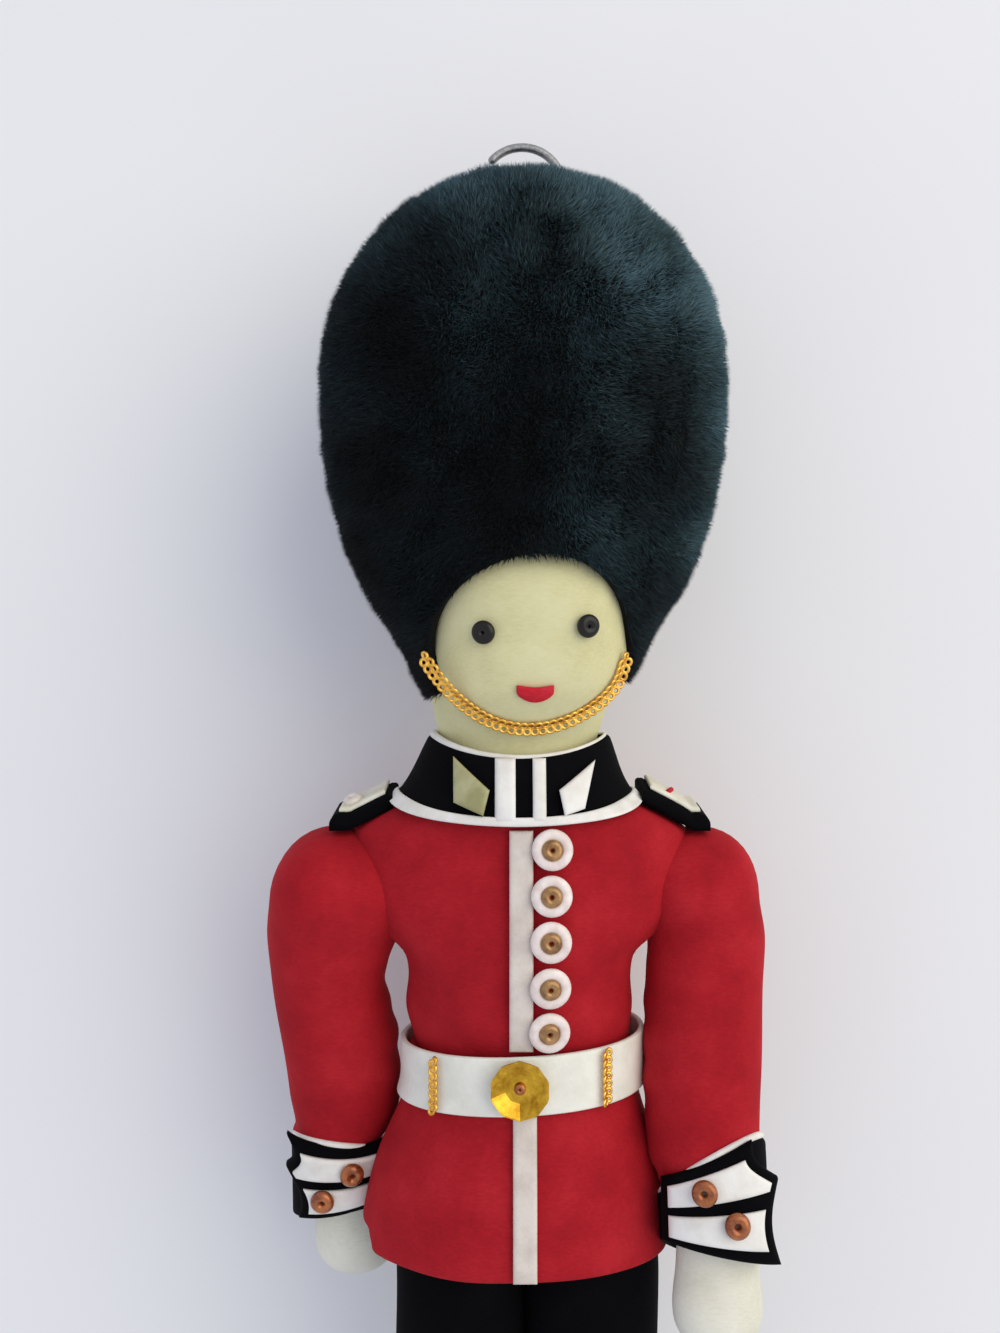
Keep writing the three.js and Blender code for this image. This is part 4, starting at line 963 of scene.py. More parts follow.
seam_front = tunic.section(COLLAR_Z - COLLAR_DIP, SEAM_GAP)
seam_side = tunic.section(COLLAR_Z, SEAM_GAP)
collar_form = StuffedForm(
    z=[COLLAR_Z - COLLAR_DIP, COLLAR_Z, COLLAR_TOP_Z],
    w=[float(seam_front[2]), float(seam_side[2]), NECK_W + SEAM_GAP],
    d=[float(seam_front[3]), float(seam_side[3]), NECK_D + SEAM_GAP],
    x=[-0.7, -0.8, -0.4],
)
front_low = COLLAR_Z - COLLAR_DIP
front_high = COLLAR_TOP_Z - COLLAR_DIP


def collar_edge(angle):
    return -COLLAR_DIP * np.cos(angle) ** 2


def trim_radius(columns):
    """The top cord is fuller on one side of the opening than on the other."""
    angle = around(columns)[None, :]
    return PIPING_R * (0.5 - 0.2 * np.sin(angle))


collar = band(collar_form, COLLAR_Z, COLLAR_TOP_Z, FELT_MM, edge=collar_edge)
put("collar_felt", collar, black_felt, "body", ("collar",))
trim = [
    band(collar_form, COLLAR_Z - TAPE_HALF, COLLAR_Z + TAPE_HALF, LACE_MM, FELT_MM, collar_edge),
    piping(collar_form, COLLAR_TOP_Z, trim_radius(128), 0.5 * FELT_MM, collar_edge),
]
for strip_low, strip_high in STRIPS:
    strip = rectangle(strip_low, strip_high, front_low, front_high)
    trim.append(applique(collar_form, strip, VINYL_MM, FELT_MM, 12, 20))
put("collar_trim", joined(*trim), white_ribbon, "body", ("collar_piping",))

# Both patches are one ribbon; the right one's khaki tone is a painted reflection, not a second colour.
for name, finish, slot in [("left", white_ribbon, "felt_white"), ("right", painted_reflection_ribbon, "felt_khaki")]:
    patch = applique(collar_form, quadrilateral(*PATCHES[name]), VINYL_MM, ON_COLLAR)
    put(f"{name}_patch_ribbon", patch, finish, "body", (f"{name}_collar_patch",))
print("collar made")

# %% [markdown]
# The head is a ball of cream felt on a neck. Where two round shapes meet, the larger of the two radii, with
# the step between them smoothed, gives the joined outline. The eyes are black beads and the mouth a
# half-moon of felt, both laid on that same surface.

# %% Head and face
HEAD_W = 9.85
HEAD_D = 9.8
HEAD_H = 9.8
HEAD_FORWARD = 1.2
FOREHEAD_H = 11.0
FOREHEAD_FORWARD = 3.0
NECK_LOW = 89.0
NECK_FLARE = 0.45
NECK_X = -0.45
HEAD_X = 0.5
FACE_X = 0.97
EYE_MM = 2.3
EYE_X = 4.82
EYE_RISE = 1.5
EYE_TILT = 0.3
MOUTH_W = 3.6
MOUTH_H = 1.5
MOUTH_DROP = 3.9
JOIN_POWER = 8.0
FACE_LIFT = 0.05

neck_z = np.linspace(NECK_LOW, HEAD_Z, 40)
ball_share = np.sqrt(np.clip(1 - ((neck_z - HEAD_Z) / HEAD_H) ** 2, 0, 1))
neck_flare = NECK_FLARE * smooth_step(97.5, 100.0, neck_z)
head_w = ((HEAD_W * ball_share) ** JOIN_POWER + (NECK_W + neck_flare) ** JOIN_POWER) ** (1 / JOIN_POWER)
head_d = ((HEAD_D * ball_share) ** JOIN_POWER + (NECK_D + neck_flare) ** JOIN_POWER) ** (1 / JOIN_POWER)
climb = smooth_step(97.0, 103.0, neck_z)
head_form = StuffedForm(
    z=np.append(neck_z, HEAD_Z + FOREHEAD_H),
    w=np.append(head_w, head_w[-1]),
    d=np.append(head_d, head_d[-1]),
    x=np.append(lerp(NECK_X, HEAD_X, smooth_step(100.0, 106.5, neck_z)), HEAD_X),
    y=np.append(-HEAD_FORWARD * climb, -FOREHEAD_FORWARD),
    square=np.append(lerp(2.0, 2.5, climb), 2.5),
    top_dome=FOREHEAD_H,
    fullness=3.2,
)
head = put("head_felt", head_form.closed(56, 96), cream_felt, "body", ("head",))


def half_moon(u, v):
    """A shallow dip along its top, and a half round below."""
    sag = np.sqrt(np.clip(1 - (2 * u - 1) ** 2, 0, 1))
    depth = MOUTH_H * lerp(0.42, 1, sag)
    top = HEAD_Z - MOUTH_DROP - 0.18 * sag**4
    return FACE_X + MOUTH_W * (u - 0.5), top - depth * (1 - v)


mouth = applique(head_form, half_moon, LACE_MM, FACE_LIFT)
put("mouth_felt", mouth, mouth_felt, "body", ("mouth",))
for name, side in [("left", 1), ("right", -1)]:
    eye_z = HEAD_Z + EYE_RISE + side * EYE_TILT
    eye = on_front(bead(EYE_MM, 0.015), head_form, FACE_X + side * EYE_X, eye_z, FACE_LIFT)
    put(f"{name}_eye_bead", eye, black_bead, "body", (f"{name}_eye",))
print("head made, face", round(2 * HEAD_W, 1), "mm wide")

# %% [markdown]
# The chin strap is a fine gold chain of small rings, laid close in two rows. Its path is a hanging arc seen
# from the front, laid on the face half a ring off the felt, with its ends lifted to the edge of the plush.
# Real rings, rolled in turn, sparkle as a chain does; a bumped cord would not.

# %% Chin strap
STRAP_MIDDLE = 0.4
STRAP_HALVES = (10.0, 9.6)
STRAP_END_Z = 106.0
STRAP_SAG = 6.9
STRAP_TURN = np.radians([-50, 58])
STRAP_LIFT = 0.45
END_LIFT = (2.4, 0.6)
STRAP_DAMPING = 0.4
STRAP_FACING = np.array([0.0, -0.9, 0.0])


def strap_line(count=500, passes=40):
    """Points round the face to the plush's edge. Each pass brings them nearer to the hanging arc."""
    angle = np.linspace(*STRAP_TURN, count)
    near_end = smooth_step(0.6, 1.0, angle / np.where(angle < 0, *STRAP_TURN))
    lift = lerp(STRAP_LIFT, np.where(angle < 0, *END_LIFT), near_end)
    z = np.full(count, STRAP_END_Z)
    for _ in range(passes):
        x = head_form.point(angle, z, lift)[:, 0] - STRAP_MIDDLE
        across = np.clip(x / np.where(x < 0, *STRAP_HALVES), -1, 1)
        arc = STRAP_END_Z - STRAP_SAG * np.sqrt(1 - across**2) ** (1.5 - 0.35 * across)
        z = lerp(z, arc, STRAP_DAMPING)
    return head_form.point(angle, z, lift)


def even_steps(line, pitch):
    """The same line, with its points one pitch apart along it."""
    run = run_of(line)
    even = np.linspace(0, run[-1], int(round(run[-1] / pitch)) + 1)
    return np.stack([np.interp(even, run, axis) for axis in line.T], -1)


strap_path = even_steps(strap_line(), CHAIN_PITCH)
strap_out = unit(strap_path - np.array([HEAD_X, 0.0, HEAD_Z])) + STRAP_FACING
strap = chain(strap_path, strap_out, CHAIN_LINK, CHAIN_WIRE, CHAIN_STRETCH, CHAIN_ROLL, CHAIN_SPREAD)
put("chin_chain", strap, gold_chain, "body", ("chin_strap",))
print("chin strap of", len(strap_path), "rings")

# %% [markdown]
# The hat is a sheet of plush pulled over wadding. As a surface it runs from the tip of the crown down to an
# edge line: round the back that line is the rim, and at the front it climbs over the forehead. Each column
# of the grid starts evenly spread at the crown and slides to its own place on the edge line.

# %% Hat
RIM_Z = 102.5
WIDEST_Z = 134.0
CROWN_Z = 156.6
PILE_MM = 0.95
BACKING_MM = 0.8
RIM_TILT = 1.6
OPENING_X = 0.55
OPENING_W = 9.95
OPENING_SKEW = 1.0
OPENING_H = 9.1
OPENING_Z = HEAD_Z - 0.6
BACK_COLUMNS = 110
FACE_COLUMNS = 130
HAT_ROWS = 110

hat_form = StuffedForm(
    z=[RIM_Z, 106.0, 110.0, 114.2, 118.4, 124.6, WIDEST_Z, CROWN_Z],
    w=[10.5, 12.2, 14.5, 17.1, 18.8, 20.5, 21.2, 21.0],
    d=[11.3, 11.8, 12.4, 13.0, 13.5, 14.1, 14.5, 14.5],
    x=[0.0, 0.0, 0.0, 0.0, 0.0, 0.0, 0.0, 0.1],
    square=[2.6, 2.4, 2.1, 2.0, 2.0, 2.0, 2.0, 2.0],
    top_dome=CROWN_Z - WIDEST_Z,
    fullness=2.1,
)


def hat_edge():
    """Angle and height along the edge: the tilted rim round the back, then an oval over the forehead."""
    first = np.pi - np.arcsin((RIM_Z - OPENING_Z) / OPENING_H)
    last = np.arcsin((RIM_Z + RIM_TILT - OPENING_Z) / OPENING_H)
    turn = np.linspace(first, last, FACE_COLUMNS)
    x = OPENING_X + OPENING_W * np.cos(turn) + OPENING_SKEW * np.sin(turn) ** 2
    z = OPENING_Z + OPENING_H * np.sin(turn)
    w, _, square = hat_form.section(z, -PILE_MM)[2:]
    share = np.clip(x / w, -1, 1)
    over = np.arctan2(share, (1 - np.abs(share) ** square) ** (1 / square)) + 2 * np.pi
    over = np.maximum.accumulate(over) + 1e-4 * np.arange(FACE_COLUMNS)
    back = np.linspace(over[-1] - 2 * np.pi, over[0], BACK_COLUMNS + 2)[1:-1]
    rim = RIM_Z + RIM_TILT * (1 + np.sin(back)) / 2
    return np.concatenate([back, over]), np.concatenate([rim, z])


def hat_grid():
    """Rows fall from the crown as a cosine, so that they crowd where the dome is flat."""
    angle, low = hat_edge()
    even = np.pi / 2 + 2 * np.pi * np.arange(len(angle)) / len(angle)
    t = np.linspace(0, 1, HAT_ROWS + 1)[1:, None]
    turn = lerp(angle, even, (1 - t) ** 1.5)
    z = low + (CROWN_Z - PILE_MM - low) * np.cos(t * np.pi / 2)
    return hat_form.point(turn, z, -PILE_MM)


hat_cloth = hat_grid()
hat_points = np.concatenate([hat_cloth.reshape(-1, 3), [hat_form.axis(CROWN_Z) - (0.0, 0.0, PILE_MM)]])
hat_columns = hat_cloth.shape[1]
hat_ring = np.arange(hat_columns)
hat_tip = np.stack([np.full(hat_columns, len(hat_points) - 1), hat_ring, np.roll(hat_ring, -1)], -1)
hat_faces = [grid_faces(HAT_ROWS, hat_columns, loop_columns=True)[:, ::-1], hat_tip]
hat_nodes = ("hat_cover", "hat_stuffing")
hat = put("hat_plush", (hat_points, hat_faces), plush_backing, "body", hat_nodes)
wall = hat.modifiers.new("plush backing", "SOLIDIFY")
wall.thickness = BACKING_MM * MM
wall.offset = -1.0
print("hat cloth", len(hat.data.polygons), "faces")

# %% [markdown]
# Plush is short dense pile that stands up from its backing. Each hair is a three-sided spike, rooted at a
# random spot of the hat's grid, chosen by area. It leans down with the lay, and slow random fields turn the
# lay here and there, which gives plush its patches of light and dark. All hairs are worked out together as
# arrays and split into four quarters, so that no mesh grows too large.
# On top of that, the hairs' tone is painted lighter towards the crown and on the side that faces the lamp, and
# darker low down: painted light.

# %% Pile
HAIRS = 240000
HAIR_MM = (0.9, 1.4)
HAIR_R = 0.06
HAIR_LEAN = 0.4
HAIR_SWAY = 0.34
HAIR_STRAY = 0.24
HAIR_ROOT = 0.15
PILE_SEED = 11
PILE_DARK = srgb(4, 5, 7)
# The light end of these tones is a painted highlight: the painted light below lifts the tone to it near the
# crown and on the lamp's side.
PILE_TONES = [
    (0.0, srgb(1, 2, 4)),
    (0.4, srgb(22, 37, 43)),
    (0.75, srgb(58, 86, 94)),
    (1.0, srgb(102, 136, 152)),
]
SHADE_CLOUD = 0.14
SHADE_SPECKLE = 0.14
# Painted light: the pile's tone rises towards the crown, and towards +X, the side that faces the lamp.
PAINTED_LIGHT_CLIMB = 0.3
PAINTED_LIGHT_ACROSS = 0.014
QUARTERS = ["front_right", "back_right", "front_left", "back_left"]


def pile_finish():
    """Tone from the hair's own map: u is its tone, painted light included; v runs from root to tip."""
    finish = Finish("plush pile", Sheen_Weight=0.04, Sheen_Roughness=0.4, Roughness=0.6)
    finish.surface.inputs["Specular IOR Level"].default_value = 0.2
    finish.surface.inputs["Sheen Tint"].default_value = srgb(120, 140, 160)
    own = finish.node("UVMap", {"uv_map": "hair"}, output="UV")
    split = finish.node("SeparateXYZ", None, {"Vector": own}, "X")
    along = Shade(finish, split.socket.node.outputs["Y"])
    shade = finish.ramp(split, PILE_TONES)
    finish.drive(Base_Color=finish.blend(along * 0.75 + 0.25, PILE_DARK, shade))
    return finish


def slow_field(points, rng, size_mm, waves=14):
    """A smooth random field: plane waves of random direction, length and phase, summed."""
    way = rng.normal(size=(waves, 3)) * (2 * np.pi / size_mm) * 0.6
    phase = rng.uniform(0, 2 * np.pi, waves)
    return np.sin(points @ way.T + phase).sum(1) / np.sqrt(waves)


def hair_roots(grid, count, rng):
    """Random spots on the grid by area, with the normal and the way down the hat at each."""
    after = np.roll(grid, -1, 1)
    a, b, c, d = grid[:-1], after[:-1], grid[1:], after[1:]
    area = np.linalg.norm(np.cross(b - a, c - a), axis=-1)
    cell = rng.choice(area.size, count, p=area.ravel() / area.sum())
    i, j = np.unravel_index(cell, area.shape)
    u, v = rng.random((2, count, 1))
    a, b, c, d = a[i, j], b[i, j], c[i, j], d[i, j]
    root = (a * (1 - u) + b * u) * (1 - v) + (c * (1 - u) + d * u) * v
    normal = unit(np.cross((c - a) * (1 - u) + (d - b) * u, (b - a) * (1 - v) + (d - c) * v))
    down = normal * normal[:, 2:] - np.array([0.0, 0.0, 1.0])
    return root, normal, down


def hairs(root, normal, down, rng):
    """Points (hair, 4, 3): a ring of three at the root, and the tip."""
    count = len(root)
    length = rng.uniform(*HAIR_MM, (count, 1)) * (1 + 0.1 * slow_field(root, rng, 4.0)[:, None])
    sway = np.stack([slow_field(root, rng, 6.0) for _ in range(3)], -1)
    way = unit(normal + HAIR_LEAN * down + HAIR_SWAY * sway + HAIR_STRAY * rng.normal(size=(count, 3)))
    side = unit(np.cross(way, rng.normal(size=(count, 3))))
    other = np.cross(way, side)
    turn = np.arange(3)[None, :, None] * 2 * np.pi / 3
    ring = side[:, None] * np.cos(turn) + other[:, None] * np.sin(turn)
    low = (root - HAIR_ROOT * normal)[:, None] + ring * HAIR_R
    return np.concatenate([low, (root + way * length)[:, None]], 1)


def hair_faces(count):
    """Three triangles from root to tip, for each hair."""
    first = (np.arange(count) * 4)[:, None, None]
    return (first + np.array([[0, 1, 3], [1, 2, 3], [2, 0, 3]])[None]).reshape(-1, 3)


def hair_map(piece, shade):
    """Each corner's place on the hair's own map: its tone across, painted light included, and how far up the
    hair it is.
    """
    corner = np.empty(len(piece.data.loops), np.int32)
    piece.data.loops.foreach_get("vertex_index", corner)
    height = np.array([0.0, 0.0, 0.0, 1.0])[corner % 4]
    places = np.stack([shade[corner // 4], height], -1).astype(np.float32).ravel()
    for name in ["hair", "OFBake"]:
        piece.data.uv_layers.new(name=name).uv.foreach_set("vector", places)


def plant_pile():
    rng = np.random.default_rng(PILE_SEED)
    root, normal, down = hair_roots(hat_cloth, HAIRS, rng)
    points = hairs(root, normal, down, rng)
    climb = (root[:, 2] - WIDEST_Z) / (CROWN_Z - WIDEST_Z)
    cloud = 0.5 + SHADE_CLOUD * slow_field(root, rng, 13.0) + SHADE_SPECKLE * rng.normal(size=HAIRS)
    # Painted light: lighter towards the crown and on the +X side that faces the lamp, darker low on the hat.
    cloud = cloud + PAINTED_LIGHT_CLIMB * climb + PAINTED_LIGHT_ACROSS * root[:, 0]
    shade = np.clip(cloud, 0.01, 0.99)
    finish = pile_finish()
    quarter = (root[:, 0] > 0) * 2 + (root[:, 1] > 0)
    for number, name in enumerate(QUARTERS):
        mine = quarter == number
        surface = (points[mine].reshape(-1, 3), [hair_faces(int(mine.sum()))])
        piece = put(f"hat_pile_{name}", surface, finish, "body", ())
        hair_map(piece, shade[mine])
    print("pile of", HAIRS, "hairs")


plant_pile()

# %% [markdown]
# The hanger is one steel wire: a straight shank out of the crown, bent over into an open hook. It is a
# circle carried along that path, and its foot goes down into the hat.

# %% Hook
WIRE_R = 0.45
BEND_R = 4.5
BEND_SWEEP = np.radians(142)
BEND_Z = -SOLE_Z - BEND_R + WIRE_R
SHANK_LOW = 148.0
SHANK_STEPS = 24
BEND_STEPS = 60

shank_z = np.linspace(SHANK_LOW, BEND_Z, SHANK_STEPS, endpoint=False)
bend_turn = np.linspace(0, BEND_SWEEP, BEND_STEPS)
wire_x = np.append(np.full(SHANK_STEPS, BEND_R), BEND_R * np.cos(bend_turn))
wire_z = np.append(shank_z, BEND_Z + BEND_R * np.sin(bend_turn))
wire = np.stack([wire_x, np.full(SHANK_STEPS + BEND_STEPS, HOOK_SETBACK), wire_z], -1)
hook = tube(wire, np.array([0.0, 1.0, 0.0]), WIRE_R)
put("hook_wire", hook, steel_wire, "hook", ("hanging_hook",))
print("hook bent through", round(np.degrees(BEND_SWEEP)), "degrees")

# %% [markdown]
# An arm is built hanging straight down from its shoulder and then turned into place: swung a little forward
# or back, and splayed just enough for its cuff to clear the skirt. The sleeve's round top is centred on
# the shoulder joint, so it turns in its place as the arm lifts.

# %% Arm pieces
SLEEVE_LEN = 27.0
CUFF_H = 8.6
CUFF_HALF = 5.6
WRIST_HALF = 4.6
FLAP_INNER = 6.0
WRAP_RISE = 0.6
FLAP_POINT = 0.62
SCALLOP = 0.9
CUFF_BORDER = 1.0
CUFF_BAR = 1.1
PANEL_INSET = 0.4
PANEL_H = (CUFF_H - 2 * CUFF_BORDER - CUFF_BAR) / 2
PANEL_GROW = FELT_MM * 1.5 + SEAM_GAP
CUFF_END = -SLEEVE_LEN - CUFF_H
HAND_LEN = 7.8
ARM_CLEARANCE = 0.9
HEM_SHIFT = -0.7
HEM_HALF = (15.3, 10.3)
CUFF_DEPTH = 5.2
ELBOW_Z = -15.0
CREASE_MM = 0.14
CUFF_BEAD_MM = 2.5
CORD_R = 0.4 * FELT_MM
CORD_RISE = 0.2


def arm_turn(side, swing):
    """Rotation of an arm: splay about Y, just past the skirt, then swing about X."""
    reach = SLEEVE_LEN + CUFF_H
    across = HEM_HALF[0] + CUFF_HALF + ARM_CLEARANCE
    deep = HEM_HALF[1] + CUFF_DEPTH + ARM_CLEARANCE
    cuff_x = across * np.sqrt(1 - (reach * np.sin(swing) / deep) ** 2) + side * HEM_SHIFT
    splay = np.arcsin((cuff_x - SHOULDER_X) / reach)
    a, b = swing, -side * splay
    about_x = np.array([[1, 0, 0], [0, np.cos(a), -np.sin(a)], [0, np.sin(a), np.cos(a)]])
    about_y = np.array([[np.cos(b), 0, np.sin(b)], [0, 1, 0], [-np.sin(b), 0, np.cos(b)]])
    return about_x @ about_y


def sleeve_swell(side):
    def swell(angle, z):
        """Creases across the inside of the elbow, and uneven packing that fades out at the shoulder."""
        inner = 0.5 + 0.5 * np.cos(angle + side * np.pi / 2)
        ripple = np.sin(1.6 * z + 0.8 * np.sin(angle)) * hump(z, ELBOW_Z, 7.0)
        packing = PACKING_MM * np.sin(2 * angle + 0.33 * z + side) * np.cos(0.21 * z)
        fade = np.clip((1.0 - z) / 5, 0, 1)
        return (CREASE_MM * inner**2 * ripple + packing) * fade

    return swell


def sleeve_form(side, widths, bow):
    """Oval sections down the arm: widths and outward bow at the listed drops below the shoulder."""
    return StuffedForm(
        z=[-30.0, -SLEEVE_LEN, -25.6, -22.0, -15.0, -9.0, -4.0, 0.0, 7.2],
        w=widths,
        d=[4.3, 4.7, 4.9, 5.0, 5.2, 5.4, 6.0, 6.9, 7.0],
        x=side * np.array(bow),
        square=[2.0, 2.0, 2.0, 2.1, 2.1, 2.2, 2.4, 2.6, 2.6],
        top_dome=7.2,
        fullness=2.15,
    )


def cuff_form(widen, shift=0.0):
    return StuffedForm(
        z=[CUFF_END, -SLEEVE_LEN],
        w=[CUFF_HALF - 1.4 * FELT_MM + widen, WRIST_HALF + widen],
        d=[4.3, 4.7],
        x=shift,
    )


def flap_edge(level, reach):
    """Outer edge of the flap: straight between its three points, less a hollow between each two."""
    low, middle, top = reach
    lower = np.clip(level / FLAP_POINT, 0, 1)
    upper = np.clip((level - FLAP_POINT) / (1 - FLAP_POINT), 0, 1)
    straight = low + (middle - low) * lower + (top - middle) * upper
    return straight - SCALLOP * (np.sin(np.pi * lower) + np.sin(np.pi * upper))


def flap_z(x, level, flap):
    low, low_slope, top, top_slope = flap
    return lerp(low + low_slope * x, top + top_slope * x, level)


def on_flap(side, reach, flap, inner, low, high, border):
    def outline(u, v):
        level = lerp(low, high, v) / CUFF_H
        x = lerp(inner, flap_edge(level, reach) - border, u)
        return side * x, flap_z(x, level, flap)

    return outline


def hand_form(side, turned_in):
    """A flat mitten, its fingers turned in towards the body."""
    return StuffedForm(
        z=[CUFF_END - HAND_LEN, CUFF_END - HAND_LEN + 4.4, CUFF_END, -30.3],
        w=[4.4, 4.4, 4.1, 4.1],
        d=[3.0, 3.0, 2.8, 2.8],
        x=-side * turned_in * np.array([1.0, 1.0, 0.7, 0.0]),
        bottom_dome=4.4,
        fullness=2.7,
    )


def arm_pieces(name, side, swing, flap, reach, bead_shift, ring, turned_in, widths, bow):
    turn = arm_turn(side, swing)
    shoulder = np.array([side * SHOULDER_X, 0.0, SHOULDER_Z])
    ring_shift, ring_rise, ring_front = ring

    def hang(piece_name, surface, finish, node, slot):
        points, groups = surface
        placed = (points @ turn.T + shoulder, groups)
        return put(piece_name, placed, finish, f"{name}_arm", (f"{name}_{node}",))

    def cut(slope):
        """A slanting edge of the cuff: raised at the front, and sloped as its flap is."""
        return lambda angle: ring_rise + ring_front * np.cos(angle) + side * slope * CUFF_HALF * np.sin(angle)

    sleeve = sleeve_form(side, widths, bow).closed(72, 96, sleeve_swell(side))
    hang(f"{name}_sleeve_cloth", sleeve, red_felt, "sleeve", "felt_red")
    flap_face = cuff_form(max(reach) + 1.0 - CUFF_HALF + FELT_MM)
    flap_outline = on_flap(side, reach, flap, -FLAP_INNER, 0, CUFF_H, 0)
    flap_felt = applique(flap_face, flap_outline, FELT_MM, FELT_MM / 2, 40, 80)
    ring_form = cuff_form(0, side * ring_shift)
    low_cut, top_cut = cut(flap[1]), cut(flap[3])
    wrap_low = CUFF_END + WRAP_RISE
    wrap = band(ring_form, wrap_low, -SLEEVE_LEN, FELT_MM, edge=top_cut, low_edge=low_cut, columns=96)
    hang(f"{name}_cuff_felt", joined(wrap, flap_felt), black_felt, "cuff", "felt_black")
    cord = piping(ring_form, -SLEEVE_LEN + CORD_RISE, CORD_R, 0.5 * FELT_MM, top_cut, 96)
    hang(f"{name}_cuff_cord", cord, white_ribbon, "cuff_piping", "felt_white")
    for level, low, bead_x, bead_share in [
        ("lower", CUFF_BORDER, bead_shift + 1.0, 0.75),
        ("upper", CUFF_BORDER + PANEL_H + CUFF_BAR, bead_shift - 1.8, 0.5),
    ]:
        outline = on_flap(side, reach, flap, PANEL_INSET - FLAP_INNER, low, low + PANEL_H, CUFF_BORDER)
        panel = applique(flap_face, outline, LACE_MM, PANEL_GROW - SEAM_GAP, 40, 30)
        hang(f"{name}_{level}_panel", panel, white_ribbon, f"{level}_cuff_panel", "vinyl_white")
        bead_z = flap_z(bead_x, (low + PANEL_H * bead_share) / CUFF_H, flap)
        stud = on_front(bead(CUFF_BEAD_MM), flap_face, side * bead_x, bead_z, PANEL_GROW + LACE_MM - SEAM_GAP)
        hang(f"{name}_{level}_stud", stud, copper_bead, f"{level}_cuff_bead", "bead_gold")
    mitten = hand_form(side, turned_in).closed(30, 72)
    hang(f"{name}_mitten", mitten, white_felt, "hand", "felt_white")
    print(name, "arm made")


arm_pieces(
    "left",
    1,
    swing=np.radians(-10),
    flap=(-33.9, -0.2, -24.3, 0.44),
    reach=(5.2, 5.3, 2.6),
    bead_shift=-0.5,
    ring=(-0.65, 0.4, 2.0),
    turned_in=0.6,
    widths=[4.5, 5.0, 5.4, 5.7, 5.9, 6.0, 5.9, 6.5, 6.5],
    bow=[-0.6, -1.0, -1.3, -1.3, -1.0, -0.6, -0.2, -1.2, -0.9],
)
arm_pieces(
    "right",
    -1,
    swing=np.radians(11),
    flap=(-33.7, -0.2, -25.4, 0.08),
    reach=(3.2, 4.8, 4.7),
    bead_shift=-0.6,
    ring=(-0.75, -0.8, 2.2),
    turned_in=2.4,
    widths=[4.5, 4.9, 5.1, 5.9, 6.1, 5.9, 6.7, 7.35, 7.3],
    bow=[0.0, -0.2, -0.8, -0.9, -0.1, 1.1, 0.7, -0.15, -0.25],
)

# %% [markdown]
# The epaulettes are short felt straps from the collar seam down over the shoulders. Their long edges droop a
# little, which shows as a black line from the front. White lace lies on top, held by a pearl bead on the
# right and by a red stitch on the left.

# %% Epaulettes
STRAP_X = {"left": (12.0, 18.9), "right": (13.2, 19.7)}
STRAP_INNER_Z = 91.3
STRAP_OUTER_Z = 88.0
STRAP_HALF = 3.5
STRAP_BORDER = 0.9
STRAP_TIP = 0.12
STRAP_MM = 1.7
STITCH_R = 0.28
UP = np.array([0.0, 0.0, 1.0])

yoke_z = np.linspace(89.0, COLLAR_Z, 200)
yoke_w = tunic.section(yoke_z, SEAM_GAP)[2]


def yoke_height(x):
    """Height of the tunic's top at a distance from the middle, read back from its falling width."""
    return np.interp(x, yoke_w[::-1], yoke_z[::-1])


def strap_point(name, side, along, y):
    """A point on the strap's underside: falling outwards, and tipped a little to the front."""
    x = lerp(*STRAP_X[name], along)
    z = np.maximum(lerp(STRAP_INNER_Z, STRAP_OUTER_Z, along), yoke_height(x)) + STRAP_TIP * y
    return np.stack(np.broadcast_arrays(side * x, y, z), -1)


def strap_sheet(name, side, inset, lift, thickness, columns=30, rows=16):
    u, v = eased(columns)[None, :], eased(rows)[:, None]
    length = STRAP_X[name][1] - STRAP_X[name][0]
    along = lerp(inset, length - inset, u) / length
    sheet = strap_point(name, side, along, (STRAP_HALF - inset) * (2 * v - 1))
    rise = edge_lift(u, v, length, 2 * STRAP_HALF, thickness)[..., None]
    return slab(sheet + lift * UP, sheet + (lift + rise) * UP)


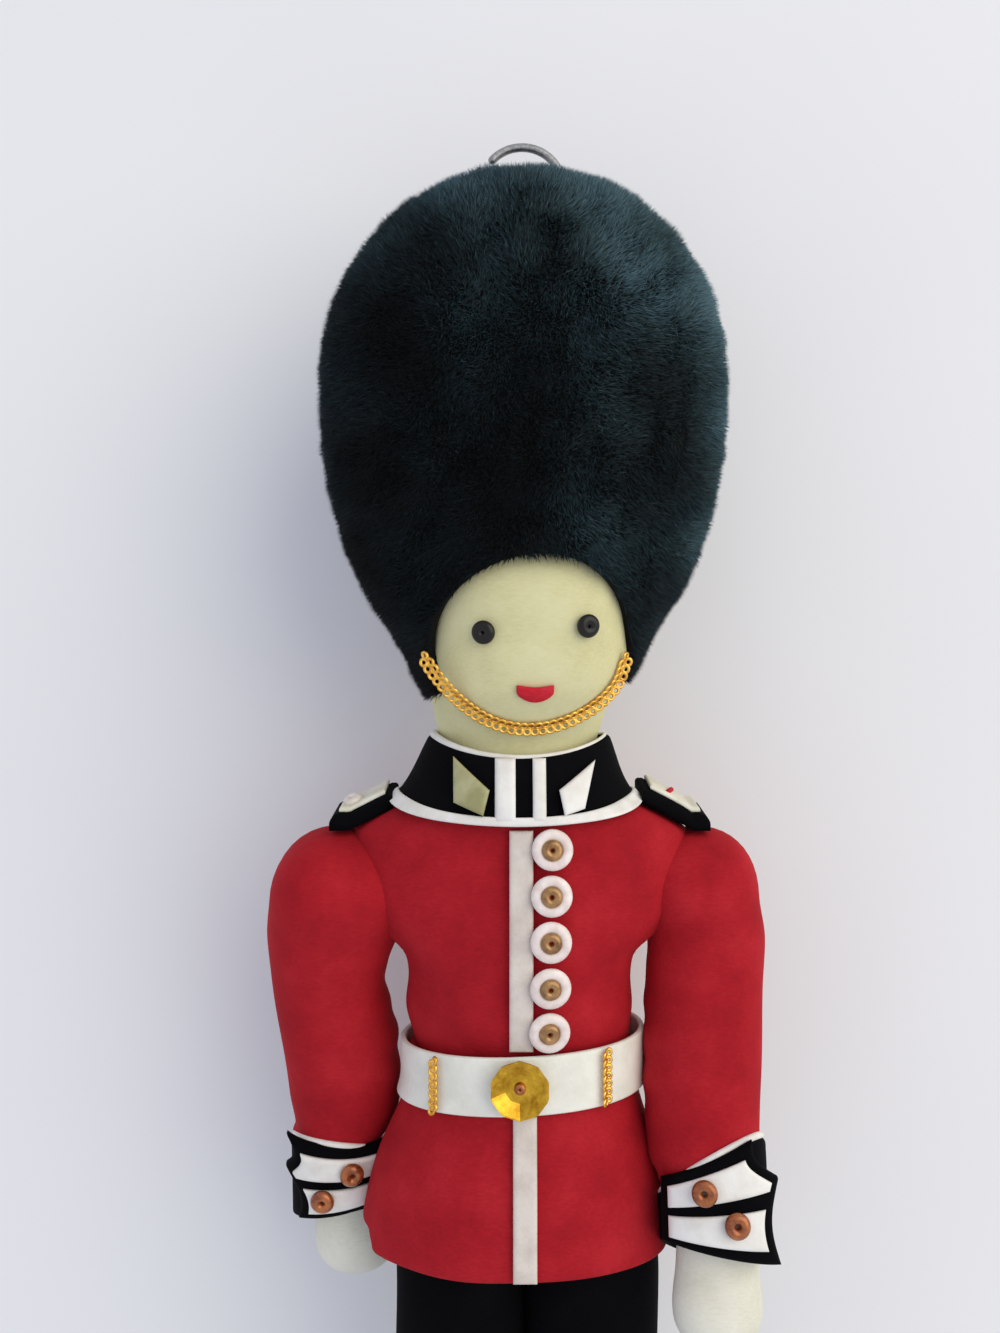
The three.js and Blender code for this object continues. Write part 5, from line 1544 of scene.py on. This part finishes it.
for name, side in [("left", 1), ("right", -1)]:
    felt_strap = strap_sheet(name, side, 0, 0, STRAP_MM)
    put(f"{name}_strap_felt", felt_strap, black_felt, "body", (f"{name}_epaulette",))
    lace = strap_sheet(name, side, STRAP_BORDER, STRAP_MM, LACE_MM)
    put(f"{name}_strap_lace", lace, cream_ribbon, "body", (f"{name}_epaulette_lace",))

lace_top = (STRAP_MM + LACE_MM) * UP
pearl_foot = strap_point("right", -1, 0.66, -0.8) + lace_top
pearl = stood(bead(BUTTON_BEAD_MM), pearl_foot, np.array([-0.3, -0.3, 0.9]), -0.2)
put("right_strap_bead", pearl, pearl_bead, "body", ("right_epaulette_bead",))
stitch_run = np.linspace(0, 1, 16)
stitch = strap_point("left", 1, lerp(0.52, 0.4, stitch_run), lerp(1.2, -2.0, stitch_run)) + lace_top
thread = tube(stitch, UP, STITCH_R)
put("left_strap_stitch", thread, mouth_felt, "body", ("left_epaulette_bead",))
print("epaulettes made")

# %% [markdown]
# The legs are black stuffed felt, rounded at the top where they hang inside the skirt, and the boots are felt
# too. The photograph shows only their tops, so they are kept plain.

# %% Legs
HIP_Z = 46.8
LEG_X = 6.85
HIP_R = 5.4
BOOT_TOP = 12.0


def leg_pieces(name, side, shift, slim):
    trouser = StuffedForm(
        z=[BOOT_TOP + SEAM_GAP, 34.0, HIP_Z, HIP_Z + HIP_R],
        w=[5.4, 6.9 - slim, 6.9 - slim, 6.9 - slim],
        d=[4.9, 5.2, HIP_R, HIP_R],
        x=side * LEG_X + shift * np.array([0.0, 1.0, 1.0, 1.0]),
        top_dome=HIP_R,
    )
    boot = StuffedForm(
        z=[0.0, 3.2, 7.5, BOOT_TOP],
        w=[5.5, 5.7, 5.7, 5.4],
        d=[8.6, 8.75, 7.0, 4.9],
        x=side * LEG_X,
        y=[-3.2, -3.2, -2.1, 0.0],
    )

    def packing(angle, z):
        return 0.08 * np.sin(2 * angle + 0.37 * z + side) * np.clip((HIP_Z - z) / 4, 0, 1)

    def dress(piece, surface, node):
        return put(f"{name}_{piece}", surface, black_felt, f"{name}_leg", (f"{name}_{node}",))

    dress("trouser_cloth", trouser.closed(48, 72, packing), "trouser")
    dress("boot_felt", boot.closed(36, 72), "boot")


leg_pieces("left", 1, 0.2, 0.0)
leg_pieces("right", -1, 0.35, 0.25)
print("legs made")
